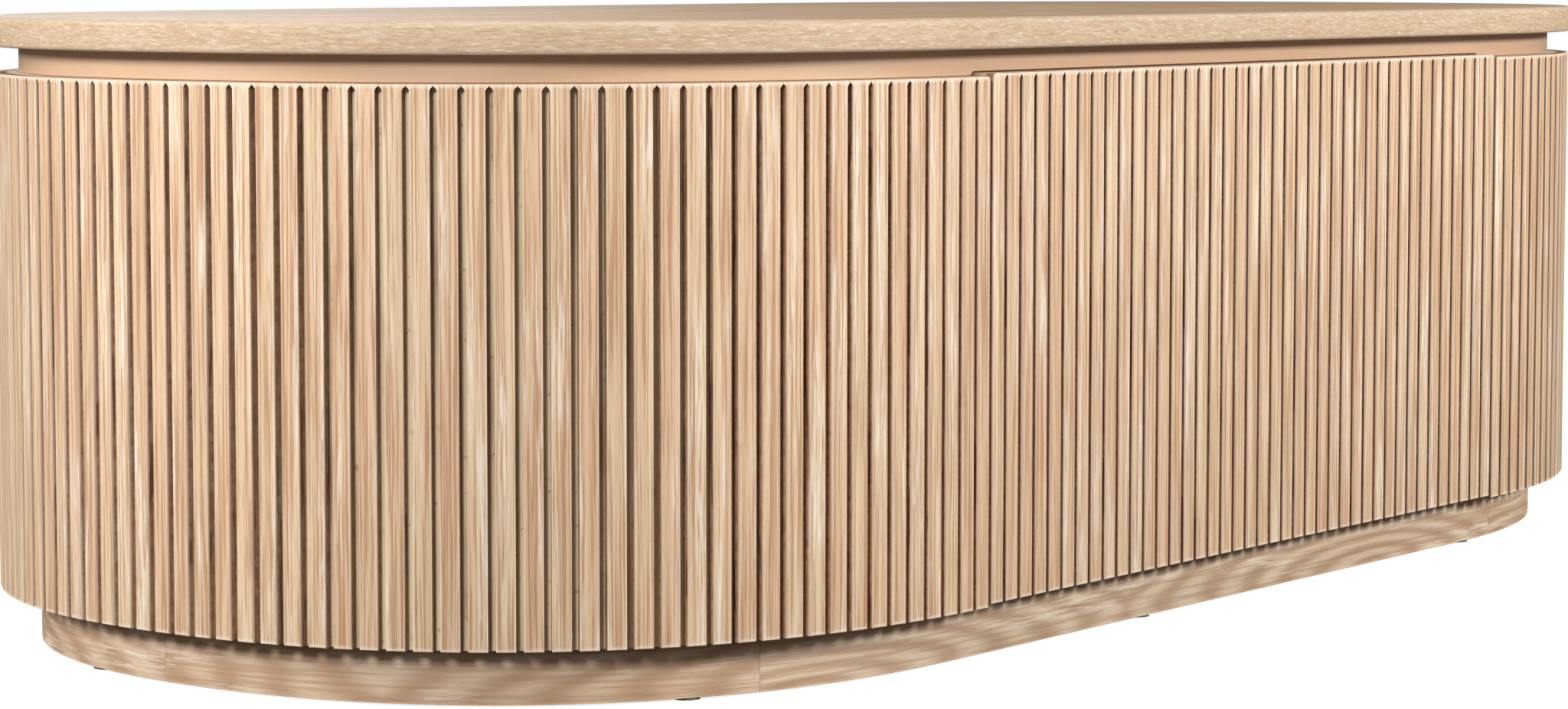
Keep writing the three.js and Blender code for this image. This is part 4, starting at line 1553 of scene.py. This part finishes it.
@dataclass
class CableOutlet:
    """An oblong outlet through the back and the grommet that lines it.

    Args:
        side: Which of the two it is.
        centre: The grommet's middle.
        length: Of the grommet's flange.
        height: Of the flange.
        front: The grommet's inner end.
        back: The flange's outer face.
        wall: Thickness of the sleeve.
        flange: How far the flange stands out past the hole.
        flange_thickness: Its thickness.
        clearance: Between the sleeve and the hole.
        roll: Radius of the flange's edges.
        roll_steps: Facets in a rolled edge.
        overshoot: How far the cutting solid reaches past the grommet.
    """

    side: Side
    centre: Vector
    length: float
    height: float
    front: float
    back: float
    wall: float = 3 * MM
    flange: float = 5 * MM
    flange_thickness: float = 3 * MM
    clearance: float = 0.3 * MM
    roll: float = 1.4 * MM
    roll_steps: int = 4
    overshoot: float = 20 * MM

    @classmethod
    def measured(cls, side: Side) -> "CableOutlet":
        """Reads the outlet off the frame's grommet."""
        low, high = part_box(side.label + "_cable_grommet")
        return cls(side, (low + high) / 2, high.x - low.x, high.z - low.z, low.y, high.y)

    def oblong(self, grow: float, y: float, steps: int = 14) -> list[Vector]:
        """Draws an oblong round the outlet.

        Args:
            grow: How far it lies outside the flange's edge.
            y: Where it stands.
            steps: Facets in each rounded end.

        Returns:
            Its points, in order.
        """
        radius = self.height / 2 + grow
        half = self.length / 2 + grow - radius
        points = []
        for sign in (1, -1):
            for i in range(steps + 1):
                angle = -math.pi / 2 * sign + math.pi * i / steps
                points.append(Vector((self.centre.x + sign * half + radius * math.cos(angle), y,
                                      self.centre.z + radius * math.sin(angle))))
        return points

    def hole(self) -> bpy.types.Mesh:
        """Makes the solid that cuts the hole.

        Returns:
            The solid, as wide as the grommet's sleeve.
        """
        near = self.oblong(-self.flange, self.front - self.overshoot)
        far = self.oblong(-self.flange, self.back + self.overshoot)
        return finish_mesh(prism(near, far), "cutter")

    def grommet(self, material: bpy.types.Material) -> bpy.types.Object:
        """Makes the moulded grommet: a flange with rolled edges, and a sleeve through the panel.

        Args:
            material: Its finish.

        Returns:
            The grommet.
        """
        bm = bmesh.new()
        outer = 0.0
        sleeve = -self.flange - self.clearance
        bore = sleeve - self.wall
        face = self.back
        under = face - self.flange_thickness
        roll = self.roll
        turn = [math.pi / 2 * i / self.roll_steps for i in range(self.roll_steps + 1)]
        section = [(sleeve, self.front), (sleeve, under), (outer, under)]
        section += [(outer - roll * (1 - math.cos(a)), face - roll * (1 - math.sin(a))) for a in turn]
        section += [(bore + roll * (1 - math.sin(a)), face - roll * (1 - math.cos(a))) for a in turn]
        section.append((bore, self.front))
        rows = [[bm.verts.new(p) for p in self.oblong(grow, y)] for grow, y in section]
        count = len(rows[0])
        for i in range(len(rows)):
            j = (i + 1) % len(rows)
            for n in range(count):
                m = (n + 1) % count
                bm.faces.new((rows[i][n], rows[i][m], rows[j][m], rows[j][n]))
        return link(self.side.label + "_outlet_grommet", finish_mesh(bm, "grommet", material, 40.0))


# ---- Top ----


@dataclass
class Top:
    """The tabletop and the lacquered deck under it, whose edge is the frieze.

    Args:
        sizes: The shared sizes.
        palette: The finishes.
        round_over: Radius of the tabletop's upper edge.
        under_share: The lower edge's radius as a share of the upper one's.
        step: The longest facet on a rounded end.
        flat_steps: Facets along each flat.
        deck_ease: Easing of the deck's lower arris.
        relief_clearance: Round the flap's top edge.
        relief_corner: Radius of the relief's upper corners.
        relief_steps: Facets in such a corner.
        relief_overshoot: How far the relief reaches out of the deck.
    """

    sizes: Sizes
    palette: Palette
    round_over: float = 4.5 * MM
    under_share: float = 0.7
    step: float = 9 * MM
    flat_steps: int = 40
    deck_ease: float = 0.5 * MM
    relief_clearance: float = 1.3 * MM
    relief_corner: float = 3.2 * MM
    relief_steps: int = 5
    relief_overshoot: float = 10 * MM

    def tabletop(self) -> bpy.types.Object:
        """Makes the oval slab, with rounded edges all round.

        Returns:
            The slab, with a map named run round its edge.
        """
        plan = self.sizes.plan
        low, high = self.sizes.top
        edge = -self.sizes.overhang
        upper = rounded((edge, high), (1.0, 0.0), (0.0, -1.0), self.round_over, 6)
        lower = rounded((edge, low), (0.0, 1.0), (1.0, 0.0), self.round_over * self.under_share, 5)
        profile = [*upper, *lower]
        distances = plan.stations(0.0, 2 * plan.half_loop, self.step)[:-1]
        flats = [plan.flat * i / self.flat_steps for i in range(1, self.flat_steps)]
        distances = sorted({*distances, *flats, *[plan.half_loop + d for d in flats]})
        bm = bmesh.new()
        run = bm.loops.layers.uv.new("run")
        rows = [[bm.verts.new(plan.place(d, inset, z)) for inset, z in profile] for d in distances]
        reach = [0.0]
        for first, second in zip(profile, profile[1:]):
            reach.append(reach[-1] + math.dist(first, second))
        stops = [*distances, 2 * plan.half_loop]
        for i in range(len(rows)):
            k = (i + 1) % len(rows)
            for j in range(len(profile) - 1):
                face = bm.faces.new((rows[i][j], rows[i][j + 1], rows[k][j + 1], rows[k][j]))
                places = ((stops[i], reach[j]), (stops[i], reach[j + 1]), (stops[i + 1], reach[j + 1]),
                          (stops[i + 1], reach[j]))
                for corner, place in zip(face.loops, places):
                    corner[run].uv = place
                face.material_index = 1
        for column, flip in ((0, False), (len(profile) - 1, True)):
            ring = [row[column] for row in rows]
            bm.faces.new(list(reversed(ring)) if flip else ring)
        mesh = finish_mesh(bm, "tabletop_slab")
        mesh.materials.append(self.palette.top)
        mesh.materials.append(self.palette.rim)
        self._mark_arris(mesh, high, low)
        return link("tabletop_slab", mesh)

    def _mark_arris(self, mesh: bpy.types.Mesh, high: float, low: float) -> None:
        """Marks the rounded edges, which are rubbed paler.

        Args:
            mesh: The slab.
            high: Its top.
            low: Its underside.
        """
        reach = self.round_over
        store(mesh, "arris", lambda co: max(0.0, 1.0 - min(high - co.z, (co.z - low) * 1.4) / reach))
        store(mesh, "tone", lambda co: 0.21)

    def deck(self) -> bpy.types.Object:
        """Makes the deck, relieved at the front for the flap's top edge.

        Returns:
            The deck.
        """
        plan = self.sizes.plan
        low, high = self.sizes.deck
        inset = self.sizes.deck_inset
        distances = plan.stations(0.0, 2 * plan.half_loop, self.step)[:-1]
        ease = self.deck_ease
        bm = bmesh.new()
        rows = [
            [bm.verts.new(plan.place(d, inset + back, z)) for d in distances]
            for back, z in ((ease, low), (0.0, low + ease), (0.0, high))
        ]
        for lower, upper in zip(rows, rows[1:]):
            for i in range(len(distances)):
                k = (i + 1) % len(distances)
                bm.faces.new((lower[i], lower[k], upper[k], upper[i]))
        bm.faces.new(list(reversed(rows[0])))
        bm.faces.new(rows[-1])
        deck = link("frieze_deck", finish_mesh(bm, "frieze_deck", self.palette.lacquer))
        cut(deck, self._relief())
        for polygon in deck.data.polygons:
            polygon.use_smooth = True
        deck.data.set_sharp_from_angle(angle=math.radians(32))
        return deck

    def _relief(self) -> bpy.types.Mesh:
        """Makes the round-cornered solid that the flap's top edge swings in.

        Returns:
            The solid.
        """
        half = self.sizes.plan.flat / 2
        top = self.sizes.flap[1] + self.relief_clearance
        low = self.sizes.deck[0] - self.relief_overshoot
        corner = self.relief_corner
        turn = [math.pi / 2 * i / self.relief_steps for i in range(self.relief_steps + 1)]
        right = [(half - corner + corner * math.cos(a), top - corner + corner * math.sin(a)) for a in turn]
        left = [(-x, z) for x, z in reversed(right)]
        outline = [(-half, low), (half, low), *right, *left]
        near = -self.sizes.plan.half_depth - self.relief_overshoot
        far = -self.sizes.plan.half_depth + self.sizes.panel + self.relief_clearance
        return finish_mesh(prism([Vector((x, near, z)) for x, z in outline],
                                 [Vector((x, far, z)) for x, z in outline]), "relief")

    def build(self) -> None:
        """Builds the slab and the deck."""
        for piece, node, slot in ((self.tabletop(), "tabletop", "top_oak"),
                                  (self.deck(), "top_deck", "lacquered_frieze")):
            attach(piece, Body.CABINET.value)
            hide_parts(node)
            log.info("%s: %d faces", piece.name, len(piece.data.polygons))


# ---- Plinth ----


@dataclass
class Plinth:
    """Six shaped boards that meet at butt joints.

    Args:
        sizes: The shared sizes.
        palette: The finishes.
        thickness: Of a board.
        gap: Between two boards.
        joint_left: From the left seam of the front back to the joint left of it.
        joint_right: From the right seam of the front on to the joint right of it.
        joint_end: From the middle of an end back to the joint there.
        ease: Of the arrises.
        step: The longest facet on a rounded end.
        tones: The boards' own offsets, in the order they are built.
    """

    sizes: Sizes
    palette: Palette
    thickness: float = 20 * MM
    gap: float = 0.3 * MM
    joint_left: float = 198 * MM
    joint_right: float = 60 * MM
    joint_end: float = 28 * MM
    ease: float = 0.6 * MM
    step: float = 9 * MM
    tones: tuple[float, ...] = (0.12, 0.55, 0.83, 0.31, 0.67, 0.95)

    def build(self) -> None:
        """Builds the six boards."""
        plan = self.sizes.plan
        joints = [
            -plan.end_length / 2 - self.joint_end,
            -self.joint_left,
            plan.flat + self.joint_right,
            plan.half_loop - plan.end_length / 2 - self.joint_end,
        ]
        names = ["left_front", "front", "right_front", "right_back", "back", "left_back"]
        for i, name in enumerate(names):
            turn = 0.0 if i < 3 else plan.half_loop
            piece = self._board(name, turn + joints[i % 3], turn + joints[i % 3 + 1], self.tones[i])
            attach(piece, Body.CABINET.value)
            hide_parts("plinth_" + name)
            log.info("%s: %d faces", piece.name, len(piece.data.polygons))

    def _board(self, name: str, start: float, end: float, tone: float) -> bpy.types.Object:
        """Makes one board.

        Args:
            name: What is added to its name.
            start: The joint before it.
            end: The joint after it.
            tone: Its own offset.

        Returns:
            The board, with eased arrises along its face.
        """
        low, high = self.sizes.plinth
        near, far = self.sizes.plinth_inset, self.sizes.plinth_inset + self.thickness
        profile = [
            *rounded((near, low), (1.0, 0.0), (0.0, 1.0), self.ease, 2),
            (near, low + 3 * self.ease),
            *rounded((near, high), (0.0, -1.0), (1.0, 0.0), self.ease, 2),
            (far, high),
            (far, low),
        ]
        plan = self.sizes.plan
        first, last = start + self.gap / 2, end - self.gap / 2
        distances = plan.stations(first, last, self.step)
        bm = sweep(plan, distances, profile)
        mesh = finish_mesh(bm, "plinth_board_" + name, self.palette.plinth)
        store(mesh, "tone", lambda co: tone)
        store(mesh, "arris", lambda co: 1.0 if co.z < low + 2 * self.ease else 0.0)
        # Depth under the board's top, which places the painted shadow under the slats' overhang.
        store(mesh, "below", lambda co: high - co.z)
        return link("plinth_board_" + name, mesh)


# ---- Carcass and hardware ----


@dataclass(frozen=True)
class EasedPart:
    """A board or a fitting whose frame shape is right, remade with eased arrises.

    Args:
        node: The frame's node.
        ease: Width of the easing.
        material: Its finish.
    """

    node: str
    ease: float
    material: bpy.types.Material

    def build(self) -> None:
        """Copies the shape, eases its arrises and puts it on its body."""
        bm = bmesh.new()
        bm.from_mesh(frame["nodes"][self.node].data)
        bmesh.ops.remove_doubles(bm, verts=bm.verts, dist=0.001 * MM)
        bmesh.ops.dissolve_limit(bm, angle_limit=math.radians(1), verts=bm.verts, edges=bm.edges)
        arrises = [e for e in bm.edges if len(e.link_faces) == 2 and e.calc_face_angle() > math.radians(45)]
        bmesh.ops.bevel(bm, geom=arrises, offset=self.ease, segments=2, profile=0.5, affect="EDGES",
                        clamp_overlap=True)
        label = self.node + "_eased"
        piece = link(label, finish_mesh(bm, label, self.material))
        record = frame["record"]
        bodies = record["behaviour"]["bodies"]
        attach(piece, next(name for name, nodes in bodies.items() if self.node in nodes))
        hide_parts(self.node)
        log.info("%s: %d faces", piece.name, len(piece.data.polygons))


@dataclass
class Carcass:
    """The boards inside.

    Args:
        palette: The finishes.
        ease: Of their arrises.
    """

    palette: Palette
    ease: float = 0.8 * MM

    def build(self) -> None:
        """Builds the boards, each with its grain along its length."""
        grains = {
            self.palette.board_x: ["base_board", "shelf"],
            self.palette.board_z: ["left_divider", "right_divider", "left_end_rib", "right_end_rib"],
            self.palette.board_y: ["plinth_rail_1", "plinth_rail_2", "plinth_rail_3"],
        }
        for material, names in grains.items():
            for name in names:
                EasedPart(name, self.ease, material).build()


@dataclass(frozen=True)
class ScrewRow:
    """Countersunk screws with star recesses, flush in a hinge leaf.

    Args:
        name: The row's name.
        body: What it rides on.
        first: The first screw's middle, on the leaf's face.
        last: The last screw's middle. The screws face to the right of the way from the first to the last.
        count: How many there are.
        radius: Of a head.
        ease: Of its rim.
        proud: How far a head stands off the leaf.
        sunk: How far it reaches into the leaf.
        recess: Depth of the star recess.
        spokes: Points round the head, four to each arm of the star.
        arm: From the head's middle to the tip of a star's arm.
        waist: From the middle to the star between two arms.
        seed: Sets the tones, which this finish doesn't read.
    """

    name: str
    body: Body
    first: Vector
    last: Vector
    count: int = 12
    radius: float = 2.6 * MM
    ease: float = 0.15 * MM
    proud: float = 0.05 * MM
    sunk: float = 0.6 * MM
    recess: float = 0.5 * MM
    spokes: int = 16
    arm: float = 1.5 * MM
    waist: float = 0.5 * MM
    seed: int = 5

    def _head(self) -> bpy.types.Mesh:
        """Makes one head.

        Returns:
            The head, with its face towards -Y.
        """
        spokes = self.spokes
        star = [self.arm if i % 4 == 0 else self.waist for i in range(spokes)]
        rings = [
            ([self.radius] * spokes, self.sunk),
            ([self.radius] * spokes, 0.0),
            ([self.radius - self.ease] * spokes, -self.proud),
            (star, -self.proud),
            ([0.6 * r for r in star], self.recess),
        ]
        bm = bmesh.new()
        rows = [[
            bm.verts.new((r * math.cos(TURN * i / spokes), y, r * math.sin(TURN * i / spokes)))
            for i, r in enumerate(reach)] for reach, y in rings]
        for near, far in zip(rows, rows[1:]):
            for i in range(spokes):
                k = (i + 1) % spokes
                bm.faces.new((near[i], near[k], far[k], far[i]))
        bm.faces.new(rows[0])
        bm.faces.new(rows[-1])
        return finish_mesh(bm, "screw_head", sharp=25.0)

    def build(self, tree: bpy.types.NodeTree, material: bpy.types.Material) -> None:
        """Sets the screws along the leaf.

        Args:
            tree: The nodes that repeat a piece along a line.
            material: The screws' finish.
        """
        heads = [self._head() for _ in range(3)]
        piece = row_of(self.name, [self.first, self.last], tree, heads, self.count, self.seed, material)
        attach(piece, self.body.value)
        log.info("%s: %d faces", piece.name, len(piece.data.polygons))


@dataclass
class Hardware:
    """Hinge, stays, latches, screws, pins, glides and grommets.

    Args:
        palette: The finishes.
        steel_ease: Easing of the metal pieces.
        moulded_ease: Easing of the moulded ones.
        leaf_gap: Between the two closed leaves of the hinge.
        leaf_start: From the pin's top to the flat of a leaf.
        end_margin: From a leaf's end to its first screw.
    """

    palette: Palette
    steel_ease: float = 0.2 * MM
    moulded_ease: float = 0.7 * MM
    leaf_gap: float = 0.4 * MM
    leaf_start: float = 1.5 * MM
    end_margin: float = 20 * MM

    def build(self, tree: bpy.types.NodeTree) -> None:
        """Builds every fitting.

        Args:
            tree: The nodes that repeat a piece along a line.
        """
        for name in frame["nodes"]:
            if "latch_body" in name or "clutch" in name:
                EasedPart(name, self.moulded_ease, self.palette.black).build()
            elif "plunger" in name or "glide" in name:
                EasedPart(name, self.steel_ease, self.palette.nylon).build()
            elif any(word in name for word in ("stay", "hinge", "strike", "screw", "shelf_pin")):
                EasedPart(name, self.steel_ease, self.palette.steel).build()
        for side in Side:
            grommet = CableOutlet.measured(side).grommet(self.palette.black)
            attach(grommet, Body.CABINET.value)
            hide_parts(side.label + "_cable_grommet")
        self._hinge_screws(tree)

    def _hinge_screws(self, tree: bpy.types.NodeTree) -> None:
        """Sets a row of screws in each leaf of the hinge.

        Args:
            tree: The nodes that repeat a piece along a line.
        """
        pin_low, pin_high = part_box("hinge_pin")
        leaf_low, leaf_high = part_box("hinge_base_leaf")
        middle = (pin_low.y + pin_high.y) / 2
        height = (pin_high.z + self.leaf_start + leaf_high.z) / 2
        left, right = leaf_low.x + self.end_margin, leaf_high.x - self.end_margin
        near, far = middle - self.leaf_gap / 2, middle + self.leaf_gap / 2
        for name, body, start, end, y in (
            ("hinge_base_screws", Body.CABINET, left, right, far),
            ("hinge_flap_screws", Body.FLAP, right, left, near),
        ):
            row = ScrewRow(name, body, Vector((start, y, height)), Vector((end, y, height)))
            row.build(tree, self.palette.steel)


# ---- Studio ----


@dataclass(frozen=True)
class Softbox:
    """A rectangular lamp aimed at the cabinet.

    Args:
        name: The lamp's name.
        place: Where it hangs.
        aim: The point it faces.
        width: Of its face.
        height: Of its face.
        watts: Its power.
    """

    name: str
    place: tuple[float, float, float]
    aim: tuple[float, float, float]
    width: float
    height: float
    watts: float

    def build(self) -> None:
        """Hangs the lamp."""
        data = bpy.data.lights.new(self.name, "AREA")
        data.shape = "RECTANGLE"
        data.size, data.size_y = self.width, self.height
        data.energy = self.watts
        lamp = bpy.data.objects.new(self.name, data)
        lamp.location = self.place
        lamp.rotation_euler = (Vector(self.aim) - Vector(self.place)).to_track_quat("-Z", "Y").to_euler()
        bpy.context.scene.collection.objects.link(lamp)


@dataclass(frozen=True)
class Studio:
    """Camera, floor and lamps.

    Args:
        eye: Where the camera stands.
        heading: Its direction seen from above, in degrees from +Y towards +X.
        tilt: How far it looks down, in degrees.
        lens: Focal length in millimetres, for a sensor 36 mm wide.
        shift: Of the lens, as shares of the sensor's width.
        sky: Brightness of the surround as the cabinet meets it.
        floor_glow: Brightness of the floor to the eye.
        floor_half: Half of the floor's width.
    """

    eye: tuple[float, float, float] = (-2.7323, -1.9676, 0.4808)
    heading: float = 53.191
    tilt: float = 4.26
    lens: float = 96.09
    shift: tuple[float, float] = (0.0, -0.05)
    sky: float = 0.09
    floor_glow: float = 0.82
    floor_half: float = 12.0

    def build(self) -> None:
        """Sets up the room."""
        self._camera()
        self._world()
        self._floor()
        for lamp in (
            Softbox("key", (-4.15, -1.45, 1.75), (-0.3, 0.0, 0.3), 0.75, 0.75, 128.0),
            Softbox("left", (-3.6, 2.4, 1.75), (-0.3, 0.0, 0.3), 0.9, 0.9, 125.0),
            Softbox("front", (1.35, -4.15, 1.75), (0.1, 0.0, 0.3), 0.75, 0.75, 210.0),
            Softbox("back", (2.6, 3.6, 2.6), (0.0, 0.0, 0.2), 1.6, 1.2, 60.0),
        ):
            lamp.build()
        view = bpy.context.scene.view_settings
        view.view_transform = "Standard"
        view.look = "None"

    def _camera(self) -> None:
        """A camera a little above the tabletop, tilted slightly down."""
        data = bpy.data.cameras.new("camera")
        data.sensor_width = 36.0
        data.lens = self.lens
        data.shift_x, data.shift_y = self.shift
        data.clip_start, data.clip_end = 0.05, 100.0
        camera = bpy.data.objects.new("camera", data)
        camera.location = self.eye
        camera.rotation_euler = (math.pi / 2 - math.radians(self.tilt), 0.0, -math.radians(self.heading))
        bpy.context.scene.collection.objects.link(camera)
        bpy.context.scene.camera = camera

    def _world(self) -> None:
        """An even pale surround."""
        world = bpy.data.worlds.new("studio")
        bpy.context.scene.world = world
        world.use_nodes = True
        graph = Graph(world.node_tree)
        path = graph.node("ShaderNodeLightPath").outputs["Is Camera Ray"]
        strength = graph.math("MULTIPLY_ADD", path, 1.0 - self.sky, self.sky)
        back = graph.node("ShaderNodeBackground", {"Color": (1.0, 1.0, 1.0, 1.0), "Strength": strength})
        graph.node("ShaderNodeOutputWorld", {0: back.outputs[0]})

    def _floor(self) -> None:
        """A plain white floor, as pale as the surround to the eye, that throws little light back up."""
        half = self.floor_half
        mesh = bpy.data.meshes.new("floor")
        spots = [(-half, -half, 0), (half, -half, 0), (half, half, 0), (-half, half, 0)]
        mesh.from_pydata(spots, [], [(0, 1, 2, 3)])
        material = bpy.data.materials.new("floor_white")
        material.use_nodes = True
        graph = Graph(material.node_tree)
        seen = graph.node("ShaderNodeLightPath").outputs["Is Camera Ray"]
        shader = graph.node("ShaderNodeBsdfPrincipled", {
            "Base Color": graph.mix(seen, (0.2, 0.2, 0.2, 1.0), (0.8, 0.8, 0.8, 1.0)),
            "Roughness": 0.9,
            "Specular IOR Level": 0.1,
            "Emission Color": (1.0, 1.0, 1.0, 1.0),
            "Emission Strength": graph.math("MULTIPLY", seen, self.floor_glow),
        })
        graph.node("ShaderNodeOutputMaterial", {0: shader.outputs[0]})
        mesh.materials.append(material)
        link("floor", mesh)


def main() -> None:
    """Builds the cabinet, sub-assembly by sub-assembly, and logs each piece's face count."""
    logging.basicConfig(level=logging.INFO, format="%(name)s %(message)s")
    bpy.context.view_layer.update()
    Studio().build()
    sizes = Sizes.measured()
    palette = Palette()
    tree = row_tree()
    FlutedSkin(sizes, palette).build(tree)
    Top(sizes, palette).build()
    Plinth(sizes, palette).build()
    Carcass(palette).build()
    Hardware(palette).build(tree)


if __name__ == "__main__":
    main()
